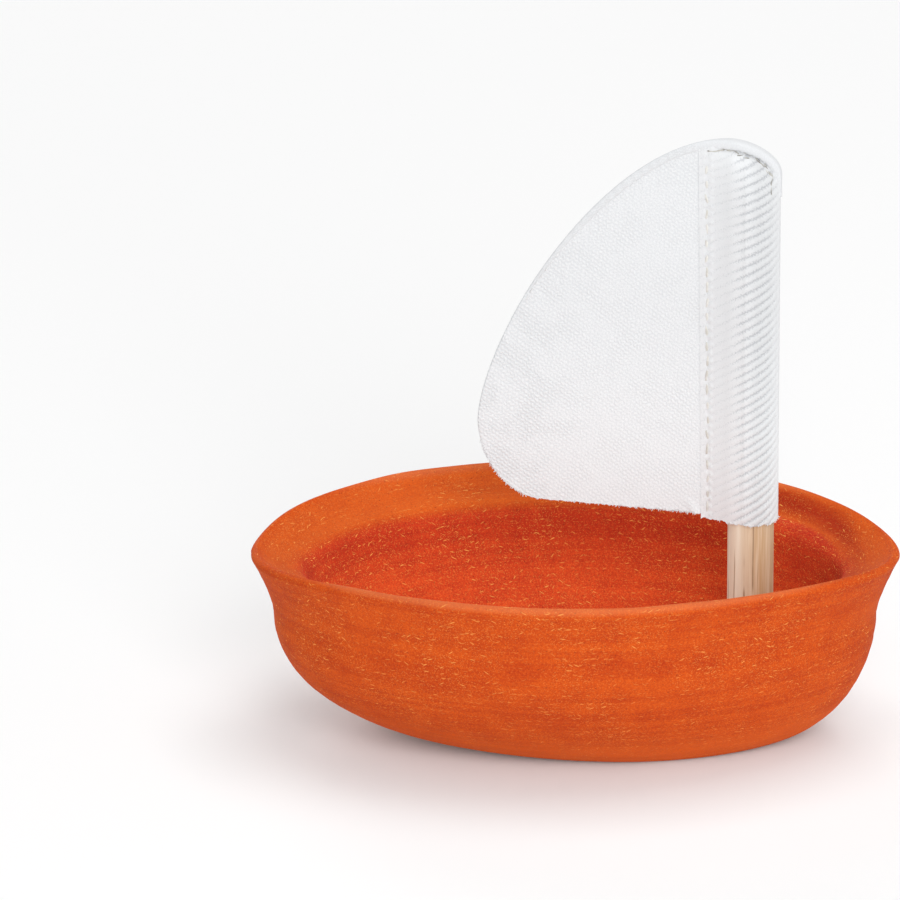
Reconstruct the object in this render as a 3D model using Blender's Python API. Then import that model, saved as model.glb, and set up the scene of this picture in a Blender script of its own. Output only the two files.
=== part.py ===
"""Toy sailing boat: a moulded oval hull, a round wooden mast and a sewn cloth sail.

The hull's flat base lies on Z = 0, the bow points to +X and the origin is under the middle of the hull.
The mast turns in a socket in the hull, and the sail's sleeve is slipped over the mast from above.
"""

import math

import bmesh
import bpy
from mathutils import Vector
from mathutils.geometry import interpolate_bezier

# Hull, in metres
HULL_LENGTH = 0.160
HULL_BEAM = 0.1142
HULL_HEIGHT = 0.0519
BASE_AFT = 0.023
BASE_FORE = 0.0504
BASE_HALF_WIDTH = 0.0220
STERN_EXPONENT = 1.93
BOW_EXPONENT = 1.83
BELLY_STERN_EXPONENT = 2.07
BELLY_BOW_EXPONENT = 1.84
BELLY_SIDE_EXPONENT = 1.3
NECK_DEPTH = 0.0198
NECK_INSET = 0.0055
NECK_EXPONENT = 1.43
LIP_WIDTH = 0.0012
LIP_DROP = 0.0014
END_DROP = 0.0040
END_DROP_EXPONENT = 5.0
FLARE_WIDTH = 0.0098
FLARE_DROP = 0.0048
SHOULDER_RADIUS = 0.0030
FLOOR_THICKNESS = 0.007
FLOOR_MARGIN = 0.004
BOWL_END_EXPONENT = 2.6
BOWL_SIDE_EXPONENT = 1.9

# Mast and the socket that it turns in
MAST_DIAMETER = 0.0114
MAST_FROM_BOW = 0.0368
MAST_BELOW_HEAD = 0.0131
MAST_TOP_ROUNDING = 0.004
MAST_FOOT_CHAMFER = 0.0008
SOCKET_FIT = 0.0003
SOCKET_IN_FLOOR = 0.003
STEP_WALL = 0.0045
STEP_HEIGHT = 0.013
STEP_ROUNDING = 0.0015

# Sail, measured in its own plane: aft from the mast's axis and up from the foot of the sleeve
CLOTH_THICKNESS = 0.0009
SEWN_GAP = 0.0003
SLEEVE_FIT = 0.0004
SLEEVE_LAP = 0.0040
SLEEVE_REACH = 0.0133
SLEEVE_ABOVE_LIP = 0.0043
SAIL_HEIGHT = 0.0978
SAIL_REACH = 0.0673
HEAD_AFT = 0.0066
HEAD_ROUND_DROP = 0.0090
HEAD_FRONT_FULLNESS = 0.0046
HEAD_TOP_FULLNESS = 0.0060
HEAD_TAPER = 0.012
HEAD_SEAM = 0.0032
LEECH_HEAD_FULLNESS = 0.0302
LEECH_WIDEST_RISE = 0.0251
LEECH_SIDE_FULLNESS = 0.0201
CLEW_SIDE_FULLNESS = 0.0052
CLEW_FOOT_FULLNESS = 0.0136
CLEW_RUN = 0.0176
FOOT_RISE_AFT = 0.0045
FOOT_RISE_MAST = 0.0009
HEM_WIDTH = 0.0023
HEM_END_WIDTH = 0.0010
HEM_SHARE_OF_LEECH = 0.62

# Sewing thread
THREAD_DIAMETER = 0.0005
STITCH_LENGTH = 0.0024
STITCH_RISE = 0.0003

# Facets
HULL_SEGMENTS = 80
BELLY_STEPS = 11
NECK_STEPS = 6
LIP_STEPS = 3
FLARE_STEPS = 6
SHOULDER_STEPS = 3
BOWL_STEPS = 11
MAST_SEGMENTS = 40
ROUND_STEPS = 5
CURVE_STEPS = 28
SLEEVE_ARC_STEPS = 9
SLEEVE_SIDE_STEPS = 3
HEAD_ROWS = 8
CUT_OVERRUN = 0.003

# Worked out from the sizes above
LIP_Z = HULL_HEIGHT
NECK_Z = LIP_Z - NECK_DEPTH
WIDEST_Z = LIP_Z - LIP_DROP
CREASE_INSET = LIP_WIDTH + FLARE_WIDTH
CREASE_Z = LIP_Z - FLARE_DROP
BOWL_INSET = CREASE_INSET + SHOULDER_RADIUS
BOWL_TOP_Z = CREASE_Z - SHOULDER_RADIUS
MAST_RADIUS = MAST_DIAMETER / 2
MAST_X = HULL_LENGTH / 2 - MAST_FROM_BOW
SOCKET_Z = FLOOR_THICKNESS - SOCKET_IN_FLOOR
SLEEVE_FOOT_Z = LIP_Z + SLEEVE_ABOVE_LIP
MAST_TOP_Z = SLEEVE_FOOT_Z + SAIL_HEIGHT - MAST_BELOW_HEAD
SLEEVE_INNER_RADIUS = MAST_RADIUS + SLEEVE_FIT
SLEEVE_OUTER_RADIUS = SLEEVE_INNER_RADIUS + CLOTH_THICKNESS
LAP_START = SLEEVE_REACH - SLEEVE_LAP
PANEL_FACE = CLOTH_THICKNESS / 2
SLOT_HALF = PANEL_FACE + SEWN_GAP
LAP_FACE = SLOT_HALF + CLOTH_THICKNESS
HEM_FACE = SLOT_HALF + CLOTH_THICKNESS
THREAD_RADIUS = THREAD_DIAMETER / 2


def start_clean():
    """Remove every object of the scene, so that the script can run again."""
    for item in list(bpy.data.objects):
        bpy.data.objects.remove(item, do_unlink=True)


def plain_material(name, colour, roughness):
    """Principled material with one colour and no metal."""
    material = bpy.data.materials.new(name)
    material.use_nodes = True
    shader = material.node_tree.nodes["Principled BSDF"]
    shader.inputs["Base Color"].default_value = (*colour, 1.0)
    shader.inputs["Roughness"].default_value = roughness
    shader.inputs["Metallic"].default_value = 0.0
    return material


def add_object(name, data, material=None, parent=None):
    """Link a mesh or a curve as a named object, with an optional material and parent."""
    item = bpy.data.objects.new(name, data)
    bpy.context.scene.collection.objects.link(item)
    if material:
        data.materials.append(material)
    if parent:
        item.parent = parent
    return item


def finish_mesh(name, bm, smooth_angle=40.0):
    """Turn a bmesh into a mesh with its faces pointing out and its round sides smooth."""
    bmesh.ops.recalc_face_normals(bm, faces=bm.faces)
    mesh = bpy.data.meshes.new(name)
    bm.to_mesh(mesh)
    bm.free()
    mesh.shade_smooth()
    mesh.set_sharp_from_angle(angle=math.radians(smooth_angle))
    return mesh


def make_cutter(name, mesh):
    """Link a helper solid that only shapes another piece."""
    cutter = add_object(name, mesh)
    cutter.hide_render = True
    cutter.display_type = "WIRE"
    return cutter


def add_boolean(item, other, operation):
    """Join a helper solid to a piece, or cut it away."""
    modifier = item.modifiers.new(other.name, "BOOLEAN")
    modifier.operation = operation
    modifier.solver = "EXACT"
    modifier.object = other


def loft_rings(bm, rings):
    """Skin closed rings of equal length with quads and return the rings' vertices."""
    rows = [[bm.verts.new(point) for point in ring] for ring in rings]
    for lower, upper in zip(rows, rows[1:]):
        count = len(lower)
        for i in range(count):
            j = (i + 1) % count
            bm.faces.new((lower[i], lower[j], upper[j], upper[i]))
    return rows


def smooth_step(share):
    """Ease from 0 to 1 with level ends."""
    return share * share * (3 - 2 * share)


def belly_share(depth_share, roundness):
    """How much of a section's width is left at a share of its depth: a superellipse quarter."""
    return (1 - depth_share ** roundness) ** (1 / roundness)


def oval_ring(aft, fore, half_width, z):
    """One level of the hull: an oval about its own middle, whose ends are drawn down above the neck."""
    middle = (fore - aft) / 2
    half_length = (fore + aft) / 2
    end_drop = END_DROP * max(0.0, (z - NECK_Z) / NECK_DEPTH)
    ring = []
    for i in range(HULL_SEGMENTS):
        angle = 2 * math.pi * i / HULL_SEGMENTS
        cosine = math.cos(angle)
        sine = math.sin(angle)
        roundness = BOW_EXPONENT if cosine >= 0 else STERN_EXPONENT
        x = middle + half_length * math.copysign(abs(cosine) ** (2 / roundness), cosine)
        y = half_width * math.copysign(abs(sine) ** (2 / roundness), sine)
        ring.append((x, y, z - end_drop * abs(cosine) ** END_DROP_EXPONENT))
    return ring


def inset_ring(inset, z):
    """The hull's plan outline, drawn in by an equal inset all round."""
    half_length = HULL_LENGTH / 2 - inset
    return oval_ring(half_length, half_length, HULL_BEAM / 2 - inset, z)


def lip_rings():
    """Rings over the narrow lip, down the flare inside it and round the shoulder of the bowl."""
    rings = []
    for step in range(1, LIP_STEPS + 1):
        turn = math.pi / 2 * step / LIP_STEPS
        inset = LIP_WIDTH * (1 - math.cos(turn))
        rings.append(inset_ring(inset, WIDEST_Z + LIP_DROP * math.sin(turn)))
    for step in range(1, FLARE_STEPS + 1):
        share = step / FLARE_STEPS
        inset = LIP_WIDTH + FLARE_WIDTH * share
        rings.append(inset_ring(inset, LIP_Z - FLARE_DROP * smooth_step(share)))
    for step in range(1, SHOULDER_STEPS + 1):
        turn = math.pi / 2 * step / SHOULDER_STEPS
        inset = CREASE_INSET + SHOULDER_RADIUS * math.sin(turn)
        rings.append(inset_ring(inset, CREASE_Z - SHOULDER_RADIUS * (1 - math.cos(turn))))
    return rings


def bowl_rings():
    """Rings down the inside of the bowl to the edge of the flat floor."""
    rings = []
    top_half_length = HULL_LENGTH / 2 - BOWL_INSET
    top_half_width = HULL_BEAM / 2 - BOWL_INSET
    floor_aft = BASE_AFT - FLOOR_MARGIN
    floor_fore = BASE_FORE - FLOOR_MARGIN
    floor_half = BASE_HALF_WIDTH - FLOOR_MARGIN
    for step in range(1, BOWL_STEPS + 1):
        depth = math.sin(math.pi / 2 * step / BOWL_STEPS)
        end_left = belly_share(depth, BOWL_END_EXPONENT)
        side_left = belly_share(depth, BOWL_SIDE_EXPONENT)
        aft = floor_aft + (top_half_length - floor_aft) * end_left
        fore = floor_fore + (top_half_length - floor_fore) * end_left
        half = floor_half + (top_half_width - floor_half) * side_left
        rings.append(oval_ring(aft, fore, half, BOWL_TOP_Z - (BOWL_TOP_Z - FLOOR_THICKNESS) * depth))
    return rings


def hull_rings():
    """Rings from the edge of the base, up the outside, over the lip and down to the floor inside."""
    rings = []
    top_half_length = HULL_LENGTH / 2 - NECK_INSET
    top_half_width = HULL_BEAM / 2 - NECK_INSET
    for step in range(BELLY_STEPS + 1):
        turn = math.pi / 2 * (1 - step / BELLY_STEPS)
        depth = math.sin(turn)
        aft = BASE_AFT + (top_half_length - BASE_AFT) * belly_share(depth, BELLY_STERN_EXPONENT)
        fore = BASE_FORE + (top_half_length - BASE_FORE) * belly_share(depth, BELLY_BOW_EXPONENT)
        half = BASE_HALF_WIDTH + (top_half_width - BASE_HALF_WIDTH) * belly_share(depth, BELLY_SIDE_EXPONENT)
        rings.append(oval_ring(aft, fore, half, NECK_Z * (1 - depth)))
    for step in range(1, NECK_STEPS + 1):
        share = step / NECK_STEPS
        inset = NECK_INSET * (1 - share ** NECK_EXPONENT)
        rings.append(inset_ring(inset, NECK_Z + (WIDEST_Z - NECK_Z) * share))
    rings += lip_rings()
    rings += bowl_rings()
    return rings


def turned_mesh(name, profile, segments):
    """Solid of revolution about the Z axis, from (radius, z) points given from bottom to top."""
    bm = bmesh.new()
    rings = []
    for radius, z in profile:
        angles = [2 * math.pi * i / segments for i in range(segments)]
        rings.append([(radius * math.cos(a), radius * math.sin(a), z) for a in angles])
    rows = loft_rings(bm, rings)
    bm.faces.new(rows[0][::-1])
    bm.faces.new(rows[-1])
    return finish_mesh(name, bm)


def rounded_top(radius, top, rounding):
    """The (radius, z) points of an outside edge rounded at the top of a turned piece."""
    points = []
    for step in range(ROUND_STEPS + 1):
        turn = math.pi / 2 * step / ROUND_STEPS
        out = radius - rounding * (1 - math.cos(turn))
        points.append((out, top - rounding * (1 - math.sin(turn))))
    return points


def build_hull(material):
    """Moulded hull in one piece, with a low round step on its floor that holds the mast."""
    bm = bmesh.new()
    rows = loft_rings(bm, hull_rings())
    bm.faces.new(rows[0][::-1])
    bm.faces.new(rows[-1])
    hull = add_object("hull", finish_mesh("hull", bm), material)

    step_radius = MAST_RADIUS + SOCKET_FIT + STEP_WALL
    step_top = FLOOR_THICKNESS + STEP_HEIGHT
    step_profile = [(step_radius, FLOOR_THICKNESS / 2)] + rounded_top(step_radius, step_top, STEP_ROUNDING)
    mast_step = make_cutter("mast_step_form", turned_mesh("mast_step_form", step_profile, MAST_SEGMENTS))
    mast_step.location.x = MAST_X
    add_boolean(hull, mast_step, "UNION")

    socket_radius = MAST_RADIUS + SOCKET_FIT
    socket_profile = [(socket_radius, SOCKET_Z), (socket_radius, step_top + CUT_OVERRUN)]
    socket = make_cutter("mast_socket_cut", turned_mesh("mast_socket_cut", socket_profile, MAST_SEGMENTS))
    socket.location.x = MAST_X
    add_boolean(hull, socket, "DIFFERENCE")
    return hull


def build_mast(material, mast_axis):
    """Round dowel with a chamfered foot, standing in the socket, and a rounded top inside the sail."""
    foot_z = SOCKET_Z + SOCKET_FIT
    profile = [(MAST_RADIUS - MAST_FOOT_CHAMFER, foot_z), (MAST_RADIUS, foot_z + MAST_FOOT_CHAMFER)]
    profile += rounded_top(MAST_RADIUS, MAST_TOP_Z, MAST_TOP_ROUNDING)
    return add_object("mast", turned_mesh("mast", profile, MAST_SEGMENTS), material, mast_axis)


def bezier_points(start, start_handle, end_handle, end):
    """Points of one Bezier piece of the sail's outline, as (aft, up) pairs."""
    controls = [Vector((*point, 0.0)) for point in (start, start_handle, end_handle, end)]
    return [(point.x, point.y) for point in interpolate_bezier(*controls, CURVE_STEPS)]


def head_curve():
    """Sail's edge from the front fold of the sleeve, over the mast, to the highest point."""
    start = (-SLEEVE_OUTER_RADIUS, SAIL_HEIGHT - HEAD_ROUND_DROP)
    end = (HEAD_AFT, SAIL_HEIGHT)
    start_handle = (start[0], start[1] + HEAD_FRONT_FULLNESS)
    end_handle = (end[0] - HEAD_TOP_FULLNESS, end[1])
    return bezier_points(start, start_handle, end_handle, end)


def leech_curve():
    """Sail's free edge from its highest point down to where it reaches furthest aft."""
    start = (HEAD_AFT, SAIL_HEIGHT)
    end = (SAIL_REACH, LEECH_WIDEST_RISE)
    start_handle = (start[0] + LEECH_HEAD_FULLNESS, start[1])
    end_handle = (end[0], end[1] + LEECH_SIDE_FULLNESS)
    return bezier_points(start, start_handle, end_handle, end)


def clew_curve():
    """Sail's rounded lower corner, from its widest point to the foot."""
    start = (SAIL_REACH, LEECH_WIDEST_RISE)
    end = (SAIL_REACH - CLEW_RUN, FOOT_RISE_AFT)
    start_handle = (start[0], start[1] - CLEW_SIDE_FULLNESS)
    end_handle = (end[0] + CLEW_FOOT_FULLNESS, end[1])
    return bezier_points(start, start_handle, end_handle, end)


def height_on(curve, aft):
    """Height of an outline at a distance aft of the mast, by straight lines between its points."""
    for (aft_a, up_a), (aft_b, up_b) in zip(curve, curve[1:]):
        if aft_a <= aft <= aft_b:
            return up_a + (up_b - up_a) * (aft - aft_a) / (aft_b - aft_a)
    return curve[0][1] if aft < curve[0][0] else curve[-1][1]


def head_height(aft):
    """Height of the sail's upper edge over the sleeve."""
    return height_on(head_curve() + leech_curve()[1:], aft)


def sail_point(aft, side, up):
    """Place a point of the sail, relative to the mast's axis at the foot of the sleeve."""
    return (-aft, side, SLEEVE_FOOT_Z + up)


def teardrop(radius, tail_half, reach):
    """Half section of the sleeve, (aft, half width): round the mast, straight to the lap, along the lap."""
    distance = math.hypot(LAP_START, tail_half)
    tangent = math.atan2(tail_half, -LAP_START) - math.acos(radius / distance)
    section = []
    for step in range(SLEEVE_ARC_STEPS + 1):
        turn = tangent * step / SLEEVE_ARC_STEPS
        section.append((-radius * math.cos(turn), radius * math.sin(turn)))
    leave_aft, leave_half = section[-1]
    for step in range(1, SLEEVE_SIDE_STEPS + 1):
        share = step / SLEEVE_SIDE_STEPS
        aft = leave_aft + (LAP_START - leave_aft) * share
        section.append((aft, leave_half + (tail_half - leave_half) * share))
    section.append((reach, tail_half))
    return section


def pinched_half(half, flat_half, below_top):
    """Half width of the sleeve, drawn in to a flat head like a rounded pocket."""
    if half <= flat_half:
        return half
    share = min(max(below_top / HEAD_TAPER, 0.0), 1.0)
    return flat_half + (half - flat_half) * math.sqrt(1 - (1 - share) ** 2)


def sleeve_side(aft, half, up):
    """Outer half width of the sleeve at a height, for a point of its section."""
    return pinched_half(half, LAP_FACE, head_height(aft) - up)


def row_heights(bottom, top):
    """Heights from bottom to top, close together where the head is drawn in."""
    taper_start = max(top - HEAD_TAPER, bottom + (top - bottom) / 2)
    rows = [bottom, bottom + (taper_start - bottom) / 2]
    for step in range(HEAD_ROWS + 1):
        turn = math.pi / 2 * step / HEAD_ROWS
        rows.append(taper_start + (top - taper_start) * math.sin(turn))
    return rows


def pocket_mesh(name, section, bottom, top_of, flat_half):
    """Closed pocket: a section of half widths lofted up to a top edge that varies along the section."""
    columns = []
    for aft, half in section:
        top = top_of(aft)
        ups = row_heights(bottom, top)
        columns.append([(aft, pinched_half(half, flat_half, top - up), up) for up in ups])
    rings = []
    for row in zip(*columns):
        near = [sail_point(aft, -half, up) for aft, half, up in row[::-1]]
        far = [sail_point(aft, half, up) for aft, half, up in row[1:]]
        rings.append(near + far)
    bm = bmesh.new()
    rows = loft_rings(bm, rings)
    for row in (rows[0], rows[-1]):
        count = len(row)
        for i in range((count - 1) // 2):
            corners = [row[i], row[i + 1], row[count - 2 - i], row[count - 1 - i]]
            bm.faces.new(dict.fromkeys(corners))
    return finish_mesh(name, bm)


def build_sleeve(material, sail_axis):
    """Cloth folded round the mast, sewn shut over its top, with its two edges lapped on the panel."""
    outside = teardrop(SLEEVE_OUTER_RADIUS, LAP_FACE, SLEEVE_REACH)
    sleeve_mesh = pocket_mesh("mast_sleeve", outside, 0.0, head_height, LAP_FACE)
    sleeve = add_object("mast_sleeve", sleeve_mesh, material, sail_axis)

    def cavity_top(aft):
        if aft >= LAP_START:
            return SAIL_HEIGHT + CUT_OVERRUN
        return head_height(aft) - HEAD_SEAM

    inside = teardrop(SLEEVE_INNER_RADIUS, SLOT_HALF, SLEEVE_REACH + CUT_OVERRUN)
    inside.insert(-2, (LAP_START - SEWN_GAP, SLOT_HALF))
    cavity_mesh = pocket_mesh("sleeve_inside_cut", inside, -CUT_OVERRUN, cavity_top, SLOT_HALF)
    cavity = make_cutter("sleeve_inside_cut", cavity_mesh)
    cavity.parent = sail_axis
    add_boolean(sleeve, cavity, "DIFFERENCE")
    return sleeve


def extrude_outline(name, outline, near, far):
    """Flat piece of the sail: an (aft, up) outline between two distances across the sail."""
    bm = bmesh.new()
    face = bm.faces.new([bm.verts.new(sail_point(aft, near, up)) for aft, up in outline])
    made = bmesh.ops.extrude_face_region(bm, geom=[face])["geom"]
    verts = [item for item in made if isinstance(item, bmesh.types.BMVert)]
    bmesh.ops.translate(bm, verts=verts, vec=(0, far - near, 0))
    return finish_mesh(name, bm)


def build_panel(material, sail_axis):
    """Flat main cloth of the sail, from the lap of the sleeve to the curved free edge."""
    luff = LAP_START + SEWN_GAP
    free_edge = [point for point in leech_curve() if point[0] > luff]
    outline = [(luff, FOOT_RISE_MAST), (luff, head_height(luff))]
    outline += free_edge + clew_curve()[1:]
    panel_mesh = extrude_outline("sail_panel", outline, -PANEL_FACE, PANEL_FACE)
    return add_object("sail_panel", panel_mesh, material, sail_axis)


def hem_edges():
    """Outer and inner edge of the turned hem along the upper part of the free edge."""
    curve = [point for point in leech_curve() if point[0] > SLEEVE_REACH + SEWN_GAP]
    curve = curve[: int(len(curve) * HEM_SHARE_OF_LEECH)]
    inner = []
    last = len(curve) - 1
    for i, point in enumerate(curve):
        ahead = Vector(curve[min(i + 1, last)])
        behind = Vector(curve[max(i - 1, 0)])
        along = (ahead - behind).normalized()
        width = HEM_WIDTH + (HEM_END_WIDTH - HEM_WIDTH) * i / last
        inner.append((point[0] + along.y * width, point[1] - along.x * width))
    return curve, inner


def build_hem(material, sail_axis):
    """Free edge turned over and sewn down on the near face of the panel."""
    outer, inner = hem_edges()
    outline = outer + inner[::-1]
    hem_mesh = extrude_outline("leech_hem", outline, -SLOT_HALF, -HEM_FACE)
    return add_object("leech_hem", hem_mesh, material, sail_axis)


def stitched_path(path):
    """Thread line over the cloth: it rises over the middle of each stitch and dips between stitches."""
    points = []
    lengths = [0.0]
    for a, b in zip(path, path[1:]):
        lengths.append(lengths[-1] + (Vector(b) - Vector(a)).length)
    halves = 2 * max(int(lengths[-1] / STITCH_LENGTH), 1)
    segment = 0
    for step in range(halves + 1):
        target = lengths[-1] * step / halves
        while segment < len(path) - 2 and lengths[segment + 1] < target:
            segment += 1
        share = (target - lengths[segment]) / (lengths[segment + 1] - lengths[segment])
        spot = Vector(path[segment]).lerp(Vector(path[segment + 1]), share)
        spot.y -= SEWN_GAP + THREAD_RADIUS + STITCH_RISE * (step % 2)
        points.append(spot)
    return points


def build_stitching(name, path, material, sail_axis):
    """One row of stitches in a single thread, lying on the near side of the sail."""
    curve = bpy.data.curves.new(name, "CURVE")
    curve.dimensions = "3D"
    curve.bevel_depth = THREAD_RADIUS
    curve.bevel_resolution = 1
    curve.use_fill_caps = True
    points = stitched_path(path)
    spline = curve.splines.new("POLY")
    spline.points.add(len(points) - 1)
    for spot, point in zip(spline.points, points):
        spot.co = (*point, 1.0)
    return add_object(name, curve, material, sail_axis)


def luff_stitch_path():
    """Straight row up the middle of the lap of the sleeve."""
    aft = LAP_START + SLEEVE_LAP / 2
    foot = sail_point(aft, -LAP_FACE, STITCH_LENGTH / 2)
    head = sail_point(aft, -LAP_FACE, head_height(aft) - HEAD_SEAM)
    return [foot, head]


def head_stitch_path():
    """Row along the head of the sleeve, one seam's depth below the edge."""
    section = teardrop(SLEEVE_OUTER_RADIUS, LAP_FACE, SLEEVE_REACH)
    path = []
    for aft, half in section[2:-1]:
        up = head_height(aft) - HEAD_SEAM
        path.append(sail_point(aft, -sleeve_side(aft, half, up), up))
    return path


def leech_stitch_path():
    """Row along the middle of the hem."""
    path = []
    for (aft_a, up_a), (aft_b, up_b) in zip(*hem_edges()):
        path.append(sail_point((aft_a + aft_b) / 2, -HEM_FACE, (up_a + up_b) / 2))
    return path


start_clean()

hull_material = plain_material("orange_wood_composite", (0.56, 0.10, 0.022), 0.75)
mast_material = plain_material("pale_hardwood", (0.62, 0.44, 0.29), 0.6)
cloth_material = plain_material("white_cotton_twill", (0.82, 0.82, 0.84), 0.9)
thread_material = plain_material("white_cotton_thread", (0.80, 0.78, 0.74), 0.8)

build_hull(hull_material)

swing_axis = add_object("mast_axis", None)
swing_axis.location = (MAST_X, 0.0, 0.0)
build_mast(mast_material, swing_axis)

build_panel(cloth_material, swing_axis)
build_sleeve(cloth_material, swing_axis)
build_hem(cloth_material, swing_axis)
build_stitching("luff_stitching", luff_stitch_path(), thread_material, swing_axis)
build_stitching("head_stitching", head_stitch_path(), thread_material, swing_axis)
build_stitching("leech_stitching", leech_stitch_path(), thread_material, swing_axis)
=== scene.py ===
import math

import bmesh
import bpy
import numpy as np
from mathutils import Matrix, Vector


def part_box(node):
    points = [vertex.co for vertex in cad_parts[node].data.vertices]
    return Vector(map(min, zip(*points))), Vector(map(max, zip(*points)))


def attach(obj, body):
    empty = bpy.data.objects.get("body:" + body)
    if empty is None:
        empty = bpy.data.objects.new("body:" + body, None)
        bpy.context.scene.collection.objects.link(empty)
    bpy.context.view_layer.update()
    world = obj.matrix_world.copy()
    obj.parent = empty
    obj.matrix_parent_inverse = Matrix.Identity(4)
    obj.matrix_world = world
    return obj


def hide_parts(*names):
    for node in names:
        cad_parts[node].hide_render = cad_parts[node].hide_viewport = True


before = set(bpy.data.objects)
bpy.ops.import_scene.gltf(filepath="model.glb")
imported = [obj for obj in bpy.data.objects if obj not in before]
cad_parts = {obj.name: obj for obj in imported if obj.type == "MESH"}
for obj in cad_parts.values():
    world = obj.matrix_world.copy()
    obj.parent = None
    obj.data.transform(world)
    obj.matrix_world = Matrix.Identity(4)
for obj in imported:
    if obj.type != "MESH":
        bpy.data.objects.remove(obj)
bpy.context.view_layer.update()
scene = bpy.context.scene
scene.view_settings.view_transform = "Standard"


# Camera: a long lens three metres away, nineteen degrees above the horizon,
# square to the boat's side but for half a degree.
lip_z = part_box("hull")[1][2]
look_turn, look_rise, look_far = math.radians(-0.6), math.radians(19.0), 3.2
pixels_wide, pixels_per_metre, sensor_wide = 900.0, 4057.0, 36.0
aim_left, aim_up = 0.03090, 0.02049


def add(name, data):
    """Put an object with this camera, lamp or mesh into the scene."""
    thing = bpy.data.objects.new(name, data)
    scene.collection.objects.link(thing)
    return thing


def stand(thing, right, top, back, spot):
    """Place a camera or a lamp: its right, top and back directions and its spot are its matrix's columns."""
    rows = np.stack([right, top, back, spot], 1).tolist()
    thing.matrix_world = Matrix(rows + [[0, 0, 0, 1]])


to_right = np.array([math.cos(look_turn), -math.sin(look_turn), 0.0])
to_front = np.array([math.cos(look_rise) * math.sin(look_turn),
                     math.cos(look_rise) * math.cos(look_turn), -math.sin(look_rise)])
to_top = np.cross(to_right, to_front)
eye = np.array([0.0, 0.0, lip_z]) - look_far * to_front - aim_left * to_right + aim_up * to_top
camera_data = bpy.data.cameras.new("camera")
camera_data.sensor_width = sensor_wide
camera_data.lens = sensor_wide * pixels_per_metre * look_far / pixels_wide
camera_data.clip_start, camera_data.clip_end = 0.05, 20.0
camera = add("camera", camera_data)
stand(camera, to_right, to_top, -to_front, eye)
scene.camera = camera


# Studio: a white matte table that keeps the boat's soft shadow, a white surround,
# a tall soft lamp in front on the right, a weaker one behind on the left, and a wide one overhead.
table_half, table_white = 3.0, (0.95, 0.95, 0.95, 1)
surround_light, surround_seen = 0.53, 1.0
lamp_aim = np.array([0.0, 0.0, 0.06])


def node(tree, kind, inputs=(), **settings):
    """Add a shader node: settings are its properties, inputs are (socket, value or link) pairs."""
    made = tree.nodes.new(kind)
    for key, value in settings.items():
        setattr(made, key, value)
    for socket, value in dict(inputs).items():
        if isinstance(value, bpy.types.NodeSocket):
            tree.links.new(value, made.inputs[socket])
        else:
            made.inputs[socket].default_value = value
    return made


def maths(tree, operation, first, second=0.0, third=0.0):
    """One Math node, as its output."""
    return node(tree, "ShaderNodeMath", {0: first, 1: second, 2: third}, operation=operation).outputs[0]


def remap(tree, value, low, high, to_low=0.0, to_high=1.0, kind="SMOOTHSTEP"):
    """Map a value from one range to another, with level ends unless the kind is LINEAR, as an output."""
    ends = {"Value": value, "From Min": low, "From Max": high, "To Min": to_low, "To Max": to_high}
    return node(tree, "ShaderNodeMapRange", ends, interpolation_type=kind).outputs[0]


def new_material(name, constants):
    """A material whose Principled shader has its constant sockets set, as (material, node tree, shader)."""
    material = bpy.data.materials.new(name)
    material.use_nodes = True
    shader = material.node_tree.nodes["Principled BSDF"]
    for socket, value in constants.items():
        shader.inputs[socket].default_value = value
    return material, material.node_tree, shader


def unit(rows):
    """Vectors along the last axis, brought to a length of one."""
    return rows / np.maximum(np.linalg.norm(rows, axis=-1, keepdims=True), 1e-12)


def new_mesh(name, points, faces):
    """A mesh of points, the last axis being x, y and z, and of faces as lists of their corners' numbers."""
    mesh = bpy.data.meshes.new(name)
    mesh.from_pydata(points.reshape(-1, 3).tolist(), [], faces)
    return mesh


table_corners = np.array([(-1, -1, 0), (1, -1, 0), (1, 1, 0), (-1, 1, 0)]) * table_half
table_mesh = new_mesh("table_top", table_corners, [(0, 1, 2, 3)])
table = add("table_top", table_mesh)
table_mesh.materials.append(new_material("table_white", {
    "Base Color": table_white, "Roughness": 0.95, "Specular IOR Level": 0.1})[0])

world = bpy.data.worlds.new("surround")
world.use_nodes = True
scene.world = world
tree = world.node_tree
rays = node(tree, "ShaderNodeLightPath").outputs
seen = maths(tree, "MAXIMUM", rays["Is Camera Ray"], rays["Is Glossy Ray"])
seen = maths(tree, "MAXIMUM", seen, rays["Is Transmission Ray"])
strength = remap(tree, seen, 0.0, 1.0, surround_light, surround_seen, "LINEAR")
surround = tree.nodes["Background"]
surround.inputs["Color"].default_value = (1, 1, 1, 1)
tree.links.new(strength, surround.inputs["Strength"])


def soft_lamp(name, spot, wide, tall, power):
    """A rectangular lamp turned to the middle of the boat."""
    lamp_data = bpy.data.lights.new(name, "AREA")
    lamp_data.shape = "RECTANGLE"
    lamp_data.size, lamp_data.size_y, lamp_data.energy = wide, tall, power
    back = unit(np.array(spot) - lamp_aim)
    side = unit(np.cross([0, 0, 1], back))
    stand(add(name, lamp_data), side, np.cross(back, side), back, spot)


soft_lamp("lamp_front", (0.42, -1.85, 0.75), 0.9, 1.7, 21.5)
soft_lamp("lamp_overhead", (0.3, 0.10, 2.0), 1.4, 1.4, 14.2)
soft_lamp("lamp_back", (-0.60, 1.85, 0.75), 0.9, 1.7, 8.0)


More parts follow.
